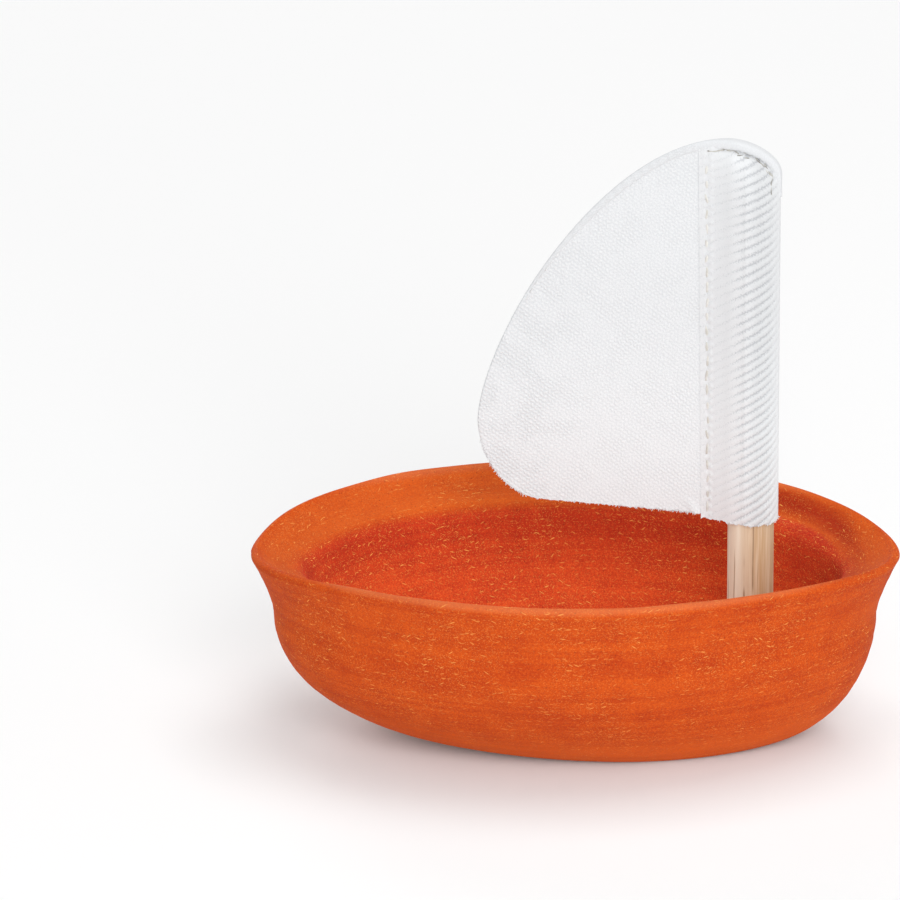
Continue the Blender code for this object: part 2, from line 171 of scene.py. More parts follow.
# Hull: a bowl moulded in one piece from orange-dyed wood fibre, with a thin flared lip whose ends
# droop, a soft shoulder inside it, a flat oval base and floor, and a round step that holds the mast.
hull_half_length, hull_half_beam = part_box("hull")[1][0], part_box("hull")[1][1]
base_aft, base_fore, base_half = 0.023, 0.0504, 0.022
neck_inset, neck_depth, neck_power = 0.0055, 0.0198, 1.43
lip_wide, lip_drop, end_drop, end_power = 0.0016, 0.0019, 0.0040, 5
flare_wide, flare_drop, flare_power, shoulder = 0.0094, 0.0055, 1.7, 0.0036
floor_z, floor_margin = 0.007, 0.004
belly_powers, bowl_powers = np.array([2.07, 1.84, 1.3]), np.array([1.75, 2.6, 1.9])
bow_power, stern_power = 1.83, 1.93
soft_reaches, soft_start, soft_above_floor = (0.0060, 0.0030, 0.0020, 0.0022), 0.006, 0.004
flat_rings, pole_share, level_normal = 9, 0.02, 0.97
neck_z, widest_z, crease_z = lip_z - neck_depth, lip_z - lip_drop, lip_z - flare_drop
crease_inset = lip_wide + flare_wide
mast_x, mast_radius = 0.0432, 0.0057
mm = 1000.0


def ease(value, start=0.0, end=1.0):
    """From 0 where the value is at start or before to 1 at end or beyond, with level ends."""
    share = np.clip((value - start) / (end - start), 0.0, 1.0)
    return share * share * (3 - 2 * share)


def distances(path):
    """How far along a path each of its points lies."""
    return np.concatenate([[0], np.cumsum(np.linalg.norm(np.diff(path, axis=0), axis=1))])


def ripple(x, y, wave, seed):
    """Unevenness from about -1 to 1: eight sine waves, each about one wave long, in seeded directions."""
    total = 0.0
    for turn, phase, stretch in np.random.default_rng(seed).random((8, 3)):
        angle, length = 2 * math.pi * turn, wave * (0.6 + 0.9 * stretch)
        total = total + np.sin(2 * math.pi * ((x * math.cos(angle) + y * math.sin(angle)) / length + phase))
    return total / 4.0


def hull_levels():
    """Rows of (aft, fore, half, z): base, belly, neck, lip, flare, shoulder, bowl and floor in one run.

    Belly and bowl are quarters of superellipses: the width left at a share of the depth is the power's root
    of one less that share to the power. Inside the lip each row is a weighted mean of its neighbours, so the
    shoulder turns softly into the bowl, and most softly at the stern.
    """
    full = np.array([hull_half_length, hull_half_length, hull_half_beam])
    base = np.array([base_aft, base_fore, base_half])
    floor = base - floor_margin
    bowl_top, bowl_z = full - crease_inset - shoulder, crease_z - shoulder

    def inset_rows(inset, z):
        return np.column_stack([full - inset[:, None], z])

    def quarter_rows(bottom, top, powers, depth, z):
        left = (1 - depth[:, None] ** powers) ** (1 / powers)
        return np.column_stack([bottom + (top - bottom) * left, z])

    outwards = np.linspace(pole_share, 1, flat_rings + 1)[:-1, None]
    inwards = np.linspace(1, pole_share, flat_rings + 1)[1:, None]
    under = np.sin(np.linspace(math.pi / 2, 0, 46))
    rise = np.linspace(0, 1, 26)[1:]
    over = np.linspace(0, math.pi / 2, 11)[1:]
    bend = np.linspace(0, math.pi / 2, 13)[1:]
    deep = np.sin(np.linspace(0, math.pi / 2, 42))[1:]
    levels = np.concatenate([
        np.column_stack([base * outwards, 0 * outwards]),
        quarter_rows(base, full - neck_inset, belly_powers, under, neck_z * (1 - under)),
        inset_rows(neck_inset * (1 - rise ** neck_power), neck_z + (widest_z - neck_z) * rise),
        inset_rows(lip_wide * (1 - np.cos(over)), widest_z + lip_drop * np.sin(over)),
        inset_rows(lip_wide + flare_wide * rise, crease_z + flare_drop * (1 - rise) ** flare_power),
        inset_rows(crease_inset + shoulder * np.sin(bend), crease_z - shoulder * (1 - np.cos(bend))),
        quarter_rows(floor, bowl_top, bowl_powers, deep, bowl_z - (bowl_z - floor_z) * deep),
        np.column_stack([floor * inwards, floor_z + 0 * inwards])])
    run, top_row = distances(levels[:, 2:]), np.argmax(levels[:, 3])
    softened = levels.copy()
    for column, reach in enumerate(soft_reaches):
        near = np.exp(-((run[:, None] - run[None, :]) / reach) ** 2) * np.gradient(run)[None, :]
        softened[:, column] = near @ levels[:, column] / near.sum(1)
    soft = ease(run - run[top_row], 0, soft_start)[:, None]
    inside = (np.arange(len(levels)) > top_row + 3)[:, None] & (levels[:, 3:] > floor_z + soft_above_floor)
    return np.where(inside, levels + (softened - levels) * soft, levels)


def end_sink(z, end_share):
    """Droop of the hull's ends: the end drop times the height above the neck times the end share's power."""
    return end_drop * np.clip((z - neck_z) / neck_depth, 0, None) * end_share ** end_power


def hull_surface(count):
    """Points and UVs of the hull's skin: an oval at every level, with a fine unevenness along its normal.

    An oval is a superellipse about its own middle, the bow's half a little sharper than the stern's, and its
    ends sink. UVs are millimetres round the lip and millimetres along the profile.
    """
    levels = hull_levels()
    aft, fore, half, z = (levels[:, k:k + 1] for k in range(4))
    turn = np.linspace(-math.pi, math.pi, count, endpoint=False)[None, :]
    c, s = np.cos(turn), np.sin(turn)
    power = 2 / np.where(c >= 0, bow_power, stern_power)
    x = (fore - aft) / 2 + (fore + aft) / 2 * np.sign(c) * abs(c) ** power
    y = half * np.sign(s) * abs(s) ** power
    z = z - end_sink(z, abs(c))
    points = np.stack([x, y, z], -1)
    along = np.roll(points, -1, 1) - np.roll(points, 1, 1)
    normal = unit(np.cross(along, np.gradient(points, axis=0)))
    lip_ring = points[np.argmax(levels[:, 3])]
    girth = distances(np.concatenate([lip_ring, lip_ring[:1]]))[None, :]
    up = distances(points[:, count // 4])[:, None]
    around = girth[:, :-1]
    slow, ringed, wavy = 0.00010, 0.00005, 0.00012
    bulge = slow * ripple(around, up, 0.030, 3) + ringed * ripple(around * 0.1, up, 0.0045, 5)
    bulge = bulge + wavy * ease(z, lip_z - 0.010, lip_z - 0.004) * ripple(around, 0.2 * up, 0.024, 7)
    uv = np.stack(np.broadcast_arrays(girth, up), -1) * mm
    return points + normal * (bulge * ease(z, 0, 0.004))[..., None], uv


def quads(grid):
    """Corners of the faces between neighbouring rows and columns of a grid of numbers."""
    corners = [grid[..., :-1, :-1], grid[..., :-1, 1:], grid[..., 1:, 1:], grid[..., 1:, :-1]]
    return np.stack(corners, -1).reshape(-1, 4)


def skin(name, points, uv, layer_name):
    """Closed mesh of rings of points: a ring's last point joins its first, and the end rings are filled.

    The UV grid has one more column than a ring has points; the end faces take plain x and y.
    """
    rows, columns = points.shape[:2]
    index = np.arange(rows * columns).reshape(rows, columns)
    ends = [index[0, ::-1], index[-1]]
    faces = quads(np.concatenate([index, index[:, :1]], 1)).tolist() + [end.tolist() for end in ends]
    corners = quads(np.arange(rows * (columns + 1)).reshape(rows, columns + 1)).ravel()
    end_uv = [points.reshape(-1, 3)[end, :2] * mm for end in ends]
    flat_uv = np.concatenate([uv.reshape(-1, 2)[corners]] + end_uv)
    mesh = new_mesh(name, points, faces)
    mesh.uv_layers.new(name=layer_name).data.foreach_set("uv", flat_uv.ravel().astype(np.float32))
    mesh.shade_smooth()
    return mesh


def turned(name, profile, layer_name, count=96):
    """Closed turned shape: (radius, z) rows carried round the mast's axis, with UVs in millimetres."""
    profile = np.array(profile)
    radius, z = profile[:, :1], profile[:, 1:]
    turn = np.linspace(0, 2 * math.pi, count + 1)[None, :]
    points = np.stack([mast_x + radius * np.cos(turn), radius * np.sin(turn), z + 0 * turn], -1)
    uv = np.stack(np.broadcast_arrays(turn * radius.max(), distances(profile)[:, None]), -1) * mm
    return skin(name, points[:, :-1], uv, layer_name)


def place(name, mesh, material, body):
    """Link a finished piece with its material, on a body of the frame."""
    piece = add(name, mesh)
    mesh.materials.append(material)
    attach(piece, body)
    return piece


def carve(mesh, helper_mesh, operation):
    """The mesh joined with a helper solid, or cut by it, as a new mesh."""
    pair = [add("carve", each) for each in (mesh, helper_mesh)]
    modifier = pair[0].modifiers.new("carve", "BOOLEAN")
    modifier.operation, modifier.solver, modifier.object = operation, "EXACT", pair[1]
    result = bpy.data.meshes.new_from_object(pair[0].evaluated_get(bpy.context.evaluated_depsgraph_get()))
    for item in pair:
        bpy.data.objects.remove(item)
    return result


step_radius, step_top, step_fillet, step_round = mast_radius + 0.0048, floor_z + 0.013, 0.003, 0.0015
socket_radius, socket_floor, socket_chamfer = mast_radius + 0.0003, 0.004, 0.0006
quarter_turn = np.linspace(0, math.pi / 2, 9)
sine_left, cosine_left = 1 - np.sin(quarter_turn), 1 - np.cos(quarter_turn)
step_profile = np.concatenate([
    [[step_radius + step_fillet, floor_z - 0.002]],
    np.stack([step_radius + step_fillet * sine_left, floor_z + step_fillet * cosine_left], 1),
    np.stack([step_radius - step_round * cosine_left, step_top - step_round * sine_left], 1)])
socket_profile = [(socket_radius, socket_floor), (socket_radius, step_top - socket_chamfer),
                  (socket_radius + socket_chamfer, step_top), (socket_radius + 0.003, step_top + 0.0024)]
hull_mesh = skin("hull_skin", *hull_surface(300), "girth")
hull_mesh = carve(hull_mesh, turned("step", step_profile, "girth"), "UNION")
hull_mesh = carve(hull_mesh, turned("socket", socket_profile, "girth"), "DIFFERENCE")
hull_mesh.shade_smooth()
hull_mesh.set_sharp_from_angle(angle=math.radians(35))


def read(items, name, width=1, kind=np.float32):
    """One property of all the items of a mesh, as rows of the given width."""
    values = np.zeros(len(items) * width, kind)
    items.foreach_get(name, values)
    return values.reshape(-1, width) if width > 1 else values


def flatten_map(mesh, layer_name):
    """Give the level faces of the base and the floor UVs of plain x and y, in millimetres."""
    at = read(mesh.vertices, "co", 3)[read(mesh.loops, "vertex_index", kind=np.int32)]
    level_face = abs(read(mesh.polygons, "normal", 3)[:, 2]) > level_normal
    level = np.repeat(level_face, read(mesh.polygons, "loop_total", kind=np.int32)) & (at[:, 2] < neck_z)
    layer = mesh.uv_layers[layer_name].data
    uv = np.where(level[:, None], at[:, :2] * mm, read(layer, "uv", 2))
    layer.foreach_set("uv", uv.ravel().astype(np.float32))


def mark_inside(mesh, bowl_name, flare_name, groove_name):
    """Three vertex attributes: the bowl below the shoulder, the flare above it, and the groove of the flare.

    A point's inset is what its oval radius lacks of the outside's oval radius at the same height.
    The bowl is the inside below the crease, eased over three millimetres, and towards the bow also what
    lies ten millimetres in and more, so that the bowl's painted shade also covers the shoulder there;
    the flare is the rest of the inside.
    The groove marks where painted shade darkens the flare: a bell curve of the inset, wider on its inner
    side, strongest beside the bow and weaker at its very end.
    """
    groove_inset, groove_out, groove_in = 0.0067, 0.0021, 0.0031
    x, y, z = read(mesh.vertices, "co", 3).T
    outside = hull_levels()
    outside = outside[flat_rings:np.argmax(outside[:, 3])]
    z = z + end_sink(z, np.clip(abs(x) / hull_half_length, 0, 1))
    aft, fore, half = (np.interp(z, outside[:, 3], outside[:, k]) for k in range(3))
    from_middle = x - (fore - aft) / 2
    across = np.maximum(np.hypot(2 * from_middle / (fore + aft), y / half), 1e-6)
    inset = np.hypot(from_middle, y) * (1 / across - 1)
    inside = ease(inset, 0.0020, 0.0040)
    below, far_in = ease(z, crease_z - 0.0008, crease_z - 0.0038), ease(inset, 0.0098, 0.0116)
    bowl = inside * (below + (np.maximum(below, far_in) - below) * ease(x, 0.010, 0.040))
    strong = (0.10 + 0.90 * ease(x, -0.03, 0.06)) * (1 - 0.6 * ease(x, 0.066, 0.073))
    groove_wide = np.where(inset < groove_inset, groove_out, groove_in)
    groove = np.exp(-((inset - groove_inset) / groove_wide) ** 2) * strong * (z > neck_z)
    for name, value in ((bowl_name, bowl), (flare_name, inside - bowl), (groove_name, groove)):
        layer = mesh.attributes.new(name, "FLOAT", "POINT")
        layer.data.foreach_set("value", value.astype(np.float32))


flatten_map(hull_mesh, "girth")
mark_inside(hull_mesh, "bowl", "flare", "groove")


def vectors(tree, operation, first, second):
    """One Vector Math node, as its output; the second input of SCALE is the scale."""
    socket = "Scale" if operation == "SCALE" else 1
    return node(tree, "ShaderNodeVectorMath", {0: first, socket: second}, operation=operation).outputs[0]


def split(tree, vector):
    """The x, y and z of a vector, as outputs."""
    return node(tree, "ShaderNodeSeparateXYZ", {0: vector}).outputs


def turned_by(tree, vector, angle):
    """A vector turned about z, as an output."""
    return node(tree, "ShaderNodeVectorRotate", {"Vector": vector, "Angle": angle},
                rotation_type="Z_AXIS").outputs[0]


def stretched(tree, vector, scale, location=(0, 0, 0)):
    """A vector scaled along each axis and moved, as an output."""
    inputs = {"Vector": vector, "Location": location, "Scale": scale}
    return node(tree, "ShaderNodeMapping", inputs).outputs[0]


def noise(tree, vector, scale, detail, roughness=0.5, dimensions="3D"):
    """A Noise Texture on a vector, as its outputs: a value, then a colour."""
    inputs = {"Vector": vector, "Scale": scale, "Detail": detail, "Roughness": roughness}
    return node(tree, "ShaderNodeTexNoise", inputs, noise_dimensions=dimensions).outputs


def mix(tree, share, first, second, blend="MIX"):
    """Mix two colours by a share, as an output."""
    return node(tree, "ShaderNodeMix", {0: share, 6: first, 7: second}, data_type="RGBA",
                blend_type=blend).outputs[2]


def new_group(name, starts, outputs):
    """A shader node group of a Vector and named values, as (group, its input links, its output sockets)."""
    group = bpy.data.node_groups.new(name, "ShaderNodeTree")
    group.interface.new_socket("Vector", in_out="INPUT", socket_type="NodeSocketVector")
    for socket, start in starts.items():
        made = group.interface.new_socket(socket, in_out="INPUT", socket_type="NodeSocketFloat")
        made.default_value = start
    for socket in outputs:
        group.interface.new_socket(socket, in_out="OUTPUT", socket_type="NodeSocketFloat")
    return group, node(group, "NodeGroupInput").outputs, node(group, "NodeGroupOutput").inputs


def dress(tree, shader, colour, rough=None, height=None, strength=0.5, depth=0.0001):
    """Link a colour to a shader, and where they are given a roughness and the relief of a height."""
    tree.links.new(colour, shader.inputs["Base Color"])
    if rough is not None:
        tree.links.new(rough, shader.inputs["Roughness"])
    if height is not None:
        bump = node(tree, "ShaderNodeBump", {"Height": height, "Strength": strength, "Distance": depth})
        tree.links.new(bump.outputs[0], shader.inputs["Normal"])


sliver_starts = {"Cells": 0.4, "Length": 0.5, "Width": 0.08, "Turn": 0.6, "Share": 0.5}


def sliver_group():
    """Node group: scattered slivers, one in each cell of a Voronoi pattern, each turned its own way.

    A sliver is where (along / length)^2 + (across / width)^2 is below about one, about its cell's point.
    """
    group, inside, outside = new_group("slivers", sliver_starts, ("Mask", "Tone"))
    cells = vectors(group, "SCALE", inside["Vector"], inside["Cells"])
    pattern = node(group, "ShaderNodeTexVoronoi", {"Vector": cells, "Scale": 1.0}, voronoi_dimensions="2D")
    offset = vectors(group, "SUBTRACT", cells, pattern.outputs["Position"])
    chance = node(group, "ShaderNodeSeparateColor", {0: pattern.outputs["Color"]}).outputs
    angle = maths(group, "MULTIPLY", maths(group, "SUBTRACT", chance[0], 0.5), inside["Turn"])
    parts = split(group, turned_by(group, offset, angle))
    size = maths(group, "MULTIPLY_ADD", chance[2], 0.7, 0.45)
    along = maths(group, "DIVIDE", parts[0], maths(group, "MULTIPLY", inside["Length"], size))
    across = maths(group, "DIVIDE", parts[1], inside["Width"])
    reach = maths(group, "MULTIPLY_ADD", along, along, maths(group, "MULTIPLY", across, across))
    there = maths(group, "LESS_THAN", chance[1], inside["Share"])
    group.links.new(maths(group, "MULTIPLY", remap(group, reach, 1.6, 0.2), there), outside["Mask"])
    group.links.new(chance[2], outside["Tone"])
    return group


slivers = sliver_group()


def sliver_layer(tree, vector, seed, *sizes):
    """Mask and tone of a layer of slivers, moved by its seed; sizes go in the order of the inputs."""
    moved = vectors(tree, "ADD", vector, (17.3 * seed, 31.1 * seed, 0))
    inputs = {"Vector": moved, **dict(zip(sliver_starts, sizes))}
    made = node(tree, "ShaderNodeGroup", inputs, node_tree=slivers).outputs
    return made["Mask"], made["Tone"]


orange_fibre, tree, shader = new_material("orange_wood_fibre", {"Specular IOR Level": 0.05})
spot = node(tree, "ShaderNodeTexCoord").outputs["Object"]
height_up = split(tree, spot)[2]
girth = node(tree, "ShaderNodeUVMap", uv_map="girth").outputs[0]
waver = vectors(tree, "SUBTRACT", noise(tree, girth, 0.9, 1.0, dimensions="2D")["Color"], (0.5, 0.5, 0.5))
grain_at = vectors(tree, "ADD", girth, vectors(tree, "SCALE", waver, 0.10))
mottle = noise(tree, spot, 2100.0, 3.0, 0.7)[0]
cloudy = noise(tree, spot, 120.0, 3.0)[0]
streaks = noise(tree, stretched(tree, girth, (0.012, 0.42, 1.0)), 1.0, 3.0, dimensions="2D")[0]
tone = remap(tree, mottle, 0.36, 0.66, 0.0, 0.60)
tone = maths(tree, "ADD", tone, remap(tree, cloudy, 0.35, 0.65, 0.0, 0.25))
tone = maths(tree, "ADD", tone, remap(tree, streaks, 0.35, 0.66, 0.0, 0.25))
outer_colour = mix(tree, tone, (0.470, 0.043, 0.0085, 1), (0.690, 0.101, 0.0120, 1))
# Painted shade and light inside the bowl: redder than the outside, darker near its top, lighter towards its
# floor.
shaded_upper_bowl = mix(tree, tone, (0.460, 0.0285, 0.0125, 1), (0.690, 0.065, 0.0180, 1))
lit_lower_bowl = mix(tree, tone, (0.550, 0.0435, 0.0150, 1), (0.815, 0.098, 0.0215, 1))
inner_colour = mix(tree, remap(tree, height_up, 0.042, 0.026), shaded_upper_bowl, lit_lower_bowl)
bowl, flare, groove = (node(tree, "ShaderNodeAttribute", attribute_name=name).outputs["Fac"]
                       for name in ("bowl", "flare", "groove"))
colour = mix(tree, bowl, outer_colour, inner_colour)
# Painted light: the whole flare is mixed a little towards a brighter, yellower orange.
colour = mix(tree, maths(tree, "MULTIPLY", flare, 0.22), colour, (0.86, 0.19, 0.026, 1))
# Painted shade: the groove band of the flare is multiplied darker.
colour = mix(tree, groove, colour, (0.60, 0.30, 0.50, 1), "MULTIPLY")
long_short_dust = (((0.64, 0.46, 0.078, 1.4, 0.36), 0.78), ((1.35, 0.40, 0.095, 2.0, 0.55), 0.52),
                   ((2.2, 0.36, 0.16, 4.0, 0.62), 0.40))
pale = 0.0
for seed, (sizes, palest) in enumerate(long_short_dust, 1):
    mask, shade = sliver_layer(tree, grain_at, seed, *sizes)
    mask = maths(tree, "MULTIPLY", mask, remap(tree, shade, 0.0, 1.0, 0.05, palest, "LINEAR"))
    pale = maths(tree, "MAXIMUM", pale, mask)
crowd = remap(tree, noise(tree, spot, 70.0, 2.0)[0], 0.36, 0.64, 0.45, 1.15)
pale = maths(tree, "MULTIPLY", pale, maths(tree, "MULTIPLY_ADD", bowl, 0.35, crowd))
colour = mix(tree, pale, colour, (0.93, 0.40, 0.095, 1))
dark = sliver_layer(tree, grain_at, 4, 0.75, 0.16, 0.10, 6.3, 0.20)[0]
colour = mix(tree, maths(tree, "MULTIPLY", dark, 0.5), colour, (0.22, 0.03, 0.012, 1))
# Paler along the lip's crest: partly wear and dust, partly a painted highlight.
crest = remap(tree, height_up, lip_z - 0.0020, lip_z - 0.0003, 0.0, 0.28)
colour = mix(tree, crest, colour, (0.86, 0.30, 0.12, 1))
# Painted light: paler towards the hull's bottom, standing in for light thrown up from the table.
table_bounce_light = remap(tree, height_up, 0.016, 0.0, 0.0, 0.58)
colour = mix(tree, table_bounce_light, colour, (0.88, 0.155, 0.024, 1))
# Painted light: diffuse rays see the fibre as a pale pinkish grey, which brightens the bowl and the sail.
bounced = node(tree, "ShaderNodeLightPath").outputs["Is Diffuse Ray"]
colour = mix(tree, maths(tree, "MULTIPLY", bounced, 0.72), colour, (0.82, 0.70, 0.68, 1))
relief = maths(tree, "MULTIPLY_ADD", mottle, 0.9, maths(tree, "MULTIPLY", pale, 0.35))
relief = maths(tree, "MULTIPLY_ADD", dark, -0.8, relief)
relief = maths(tree, "MULTIPLY_ADD", streaks, 0.5, relief)
dress(tree, shader, colour, remap(tree, mottle, 0.3, 0.7, 0.62, 0.80), relief, 0.55, 0.00022)
hull = place("hull_shell", hull_mesh, orange_fibre, "hull_body")
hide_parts("hull")


# Mast: a round dowel of pale hardwood, sanded and left bare, with a chamfered foot in the
# hull's socket and a rounded top inside the sail's sleeve.
mast_foot, mast_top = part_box("mast")[0][2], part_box("mast")[1][2]
foot_chamfer, top_round, pole_radius = 0.0008, 0.004, 0.0004
quarter_turn = np.linspace(0, math.pi / 2, 14)
shaft_z = np.linspace(mast_foot + 0.003, mast_top - 0.005, 24)
mast_profile = np.concatenate([
    [[pole_radius, mast_foot], [mast_radius - foot_chamfer, mast_foot],
     [mast_radius, mast_foot + foot_chamfer]],
    np.stack([mast_radius + 0 * shaft_z, shaft_z], 1),
    np.stack([mast_radius - top_round * (1 - np.cos(quarter_turn)),
              mast_top - top_round * (1 - np.sin(quarter_turn))], 1),
    [[pole_radius, mast_top]]])
mast_mesh = turned("mast_dowel", mast_profile, "grain")
mast_mesh.set_sharp_from_angle(angle=math.radians(35))

pale_wood, tree, shader = new_material("bare_pale_hardwood", {"Specular IOR Level": 0.3})
spot = node(tree, "ShaderNodeTexCoord").outputs["Object"]
sway = vectors(tree, "SCALE", noise(tree, spot, 30.0, 1.0)["Color"], 0.0012)
wood_at = vectors(tree, "ADD", spot, sway)
ring_centre = stretched(tree, wood_at, (1, 1, 0.035), (-0.030, 0.011, 0.0))
rings = node(tree, "ShaderNodeTexWave", {
    "Vector": ring_centre, "Scale": 130.0, "Distortion": 2.0, "Detail": 2.0, "Detail Scale": 1.5},
    wave_type="RINGS", rings_direction="Z").outputs[0]
fibre, vessel, broad = (noise(tree, stretched(tree, wood_at, (1, 1, squash)), scale, detail)[0]
                        for squash, scale, detail in ((0.022, 3200, 3), (0.03, 1300, 2), (0.05, 260, 2)))
across = split(tree, wood_at)[0]
# Painted shade: pale on the stern side, dark brown on the bow side, with broad random tone on top.
side_shade_and_tone = remap(tree, across, mast_x + 0.0038, mast_x - 0.0036, 0.0, 0.90)
side_shade_and_tone = maths(tree, "ADD", side_shade_and_tone, remap(tree, broad, 0.36, 0.64, -0.15, 0.25))
colour = mix(tree, side_shade_and_tone, (0.57, 0.34, 0.155, 1), (0.97, 0.88, 0.72, 1))
colour = mix(tree, remap(tree, rings, 0.3, 0.95, 0.0, 0.30), colour, (0.60, 0.40, 0.22, 1))
colour = mix(tree, remap(tree, fibre, 0.35, 0.70, 0.0, 0.35), colour, (0.93, 0.80, 0.62, 1))
pores = remap(tree, vessel, 0.62, 0.72, 0.0, 0.8)
colour = mix(tree, pores, colour, (0.36, 0.19, 0.09, 1))
come_and_go = noise(tree, stretched(tree, spot, (0.2, 0.2, 1.0)), 75.0, 2.0)[0]
veins = 0.0
for off_centre, half_wide, faint, plain in ((-0.0011, 0.00034, 0.42, 0.58), (0.0010, 0.00028, 0.58, 0.42)):
    aside = maths(tree, "ABSOLUTE", maths(tree, "SUBTRACT", across, mast_x + off_centre))
    band = remap(tree, aside, half_wide, 0.3 * half_wide)
    vein = maths(tree, "MULTIPLY", band, remap(tree, come_and_go, faint, plain))
    veins = maths(tree, "MAXIMUM", veins, vein)
colour = mix(tree, maths(tree, "MULTIPLY", veins, 0.7), colour, (0.30, 0.16, 0.075, 1))
relief = maths(tree, "MULTIPLY_ADD", pores, -0.8, fibre)
dress(tree, shader, colour, remap(tree, fibre, 0.3, 0.7, 0.72, 0.52), relief, 0.5, 0.00012)
mast = place("mast_dowel", mast_mesh, pale_wood, "mast_body")
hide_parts("mast")


# Sail panel: one layer of white cotton twill, cut with a curved leech and a raw foot,
# and sewn along its luff between the two laps of the mast sleeve.
sleeve_foot = lip_z + 0.0043
sail_height, sail_reach, luff_aft, panel_foot = 0.0978, 0.0673, 0.0096, 0.0009
front_aft, front_up, peak_aft, clew_up = -0.0070, 0.0888, 0.0066, 0.0251
cloth_half, thread_fray, edge_fray, fray_deep = 0.00040, 0.00016, 0.00012, 0.0016
belly_deep, wave_deep, wave_long, wave_start = 0.0008, 0.0006, 0.062, 0.2
pucker_deep, pucker_reach, pucker_pitch = 0.00006, 0.006, 0.0021
crease_deep, crease_wide, tack_aft, tack_up = 0.0006, 0.0012, 0.0135, 0.001


def bezier(a, b, c, d, count=200):
    """Cubic Bezier from a to d with handles b and c, as (aft, up) rows."""
    t = np.linspace(0, 1, count)[:, None]
    a, b, c, d = (np.array(p) for p in (a, b, c, d))
    return (1 - t) ** 3 * a + 3 * (1 - t) ** 2 * t * b + 3 * (1 - t) * t ** 2 * c + t ** 3 * d


def evenly(path, count, ends=0.0):
    """The same path with points at even distances; ends between 0 and 1 draws them closer to both ends."""
    far = distances(path)
    share = np.linspace(0, 1, count)
    share = share + ends * (ease(share) - share)
    return np.stack([np.interp(share * far[-1], far, path[:, k]) for k in range(path.shape[1])], 1)


front, peak, clew = (front_aft, front_up), (peak_aft, sail_height), (sail_reach, clew_up)
head_edge = bezier(front, (front_aft, 0.0934), (0.0006, sail_height), peak)
leech_edge = bezier(peak, (0.0368, sail_height), (sail_reach, 0.0452), clew)
clew_edge = bezier(clew, (sail_reach, 0.0199), (0.0633, 0.0045), (0.0497, 0.0045))
upper_edge = np.concatenate([head_edge, leech_edge[1:]])


def edge_height(aft):
    """Height of the sail's upper edge over a distance aft of the mast's axis."""
    return np.interp(aft, upper_edge[:, 0], upper_edge[:, 1])


def sail_sway(aft, up):
    """How far the cloth stands off its plane.

    A slow belly, a lazy wave along the leech and small puckers at the hem, less a short crease at the tack.
    """
    inward = np.clip((aft - luff_aft) / (sail_reach - luff_aft), 0, 1)
    belly = belly_deep * np.sin(math.pi * inward ** 0.8) * np.sin(math.pi * np.clip(up / sail_height, 0, 1))
    wave = wave_deep * inward ** 2 * np.sin(2 * math.pi * (up / wave_long + wave_start))
    below = np.clip(edge_height(np.clip(aft, peak_aft, None)) - up, 0, 1)
    pucker = pucker_deep * np.exp(-below / pucker_reach) * np.sin(2 * math.pi * aft / pucker_pitch)
    pucker = pucker * ease(up, 0.055, 0.075)
    crease = crease_deep * np.exp(-((aft - tack_aft - 0.5 * (up - tack_up)) / crease_wide) ** 2)
    return belly + wave + pucker - crease * ease(up, 0.006, 0.001)


def sail_point(aft, side, up):
    """Place (aft, side, up) of the sail in the boat's frame."""
    return np.stack([mast_x - aft, side, sleeve_foot + up], -1)


def round_edge(inward, half):
    """Half thickness at a distance in from a cut edge: a quarter circle up to the full half."""
    share = np.clip(inward / half, 0, 1)
    return half * np.sqrt(np.clip(1 - (1 - share) ** 2, 0, 1))


def face_out(mesh, merge=0.0):
    """The mesh, faces outwards and shaded smooth; merge is a distance within which points join first."""
    bm = bmesh.new()
    bm.from_mesh(mesh)
    if merge:
        bmesh.ops.remove_doubles(bm, verts=bm.verts, dist=merge)
        bmesh.ops.dissolve_degenerate(bm, edges=bm.edges, dist=1e-8)
    bmesh.ops.recalc_face_normals(bm, faces=bm.faces)
    bm.to_mesh(mesh)
    bm.free()
    mesh.shade_smooth()
    return mesh


def closed_sheet(name, near, far, uv):
    """Cloth with two faces, given as grids with the same border, merged along that border."""
    count = near[..., 0].size
    near_faces = quads(np.arange(count).reshape(near.shape[:2]))
    faces = np.concatenate([near_faces, near_faces[:, ::-1] + count])
    mesh = new_mesh(name, np.stack([near, far]), faces.tolist())
    both_uv = np.stack([uv, uv]).reshape(-1, 2) * mm
    corner_uv = both_uv[read(mesh.loops, "vertex_index", kind=np.int32)]
    mesh.uv_layers.new(name="cloth").data.foreach_set("uv", corner_uv.ravel().astype(np.float32))
    return face_out(mesh, 2e-7)


def panel_grid(rows, columns):
    """Grid of the panel: each row runs from the luff to the free edge, from the foot up to the head."""
    free = np.concatenate([clew_edge[::-1], leech_edge[::-1][1:]])
    free = evenly(free[free[:, 0] > luff_aft + 0.0006], rows, 0.55)
    luff = np.array([[luff_aft, panel_foot], [luff_aft, edge_height(luff_aft) - 0.0004]])
    luff = evenly(luff, rows, 0.55)
    border = 0.015
    last = 1 - border * np.cos(np.linspace(0, math.pi / 2, 9))
    share = np.concatenate([np.linspace(0, 1 - border, columns - 8)[:-1], last])[None, :, None]
    flat = luff[:, None] + (free - luff)[:, None] * share
    return flat[..., 0], flat[..., 1]


aft, up = panel_grid(250, 150)
fray = thread_fray * ripple(aft, 0 * aft, 0.0011, 11) + edge_fray * ripple(aft, 0 * aft, 0.0030, 12)
up = up + fray * ease(up - up[:1], fray_deep, 0)
flat = np.stack([aft, up], -1)
borders = (flat[:1], flat[-1:], flat[:, :1], flat[:, -1:])
half = round_edge(np.min([np.linalg.norm(flat - border, axis=-1) for border in borders], axis=0), cloth_half)
sway = sail_sway(aft, up)
near, far = (sail_point(aft, sway + face * half, up) for face in (-1, 1))
panel_mesh = closed_sheet("sail_panel_cloth", near, far, flat)


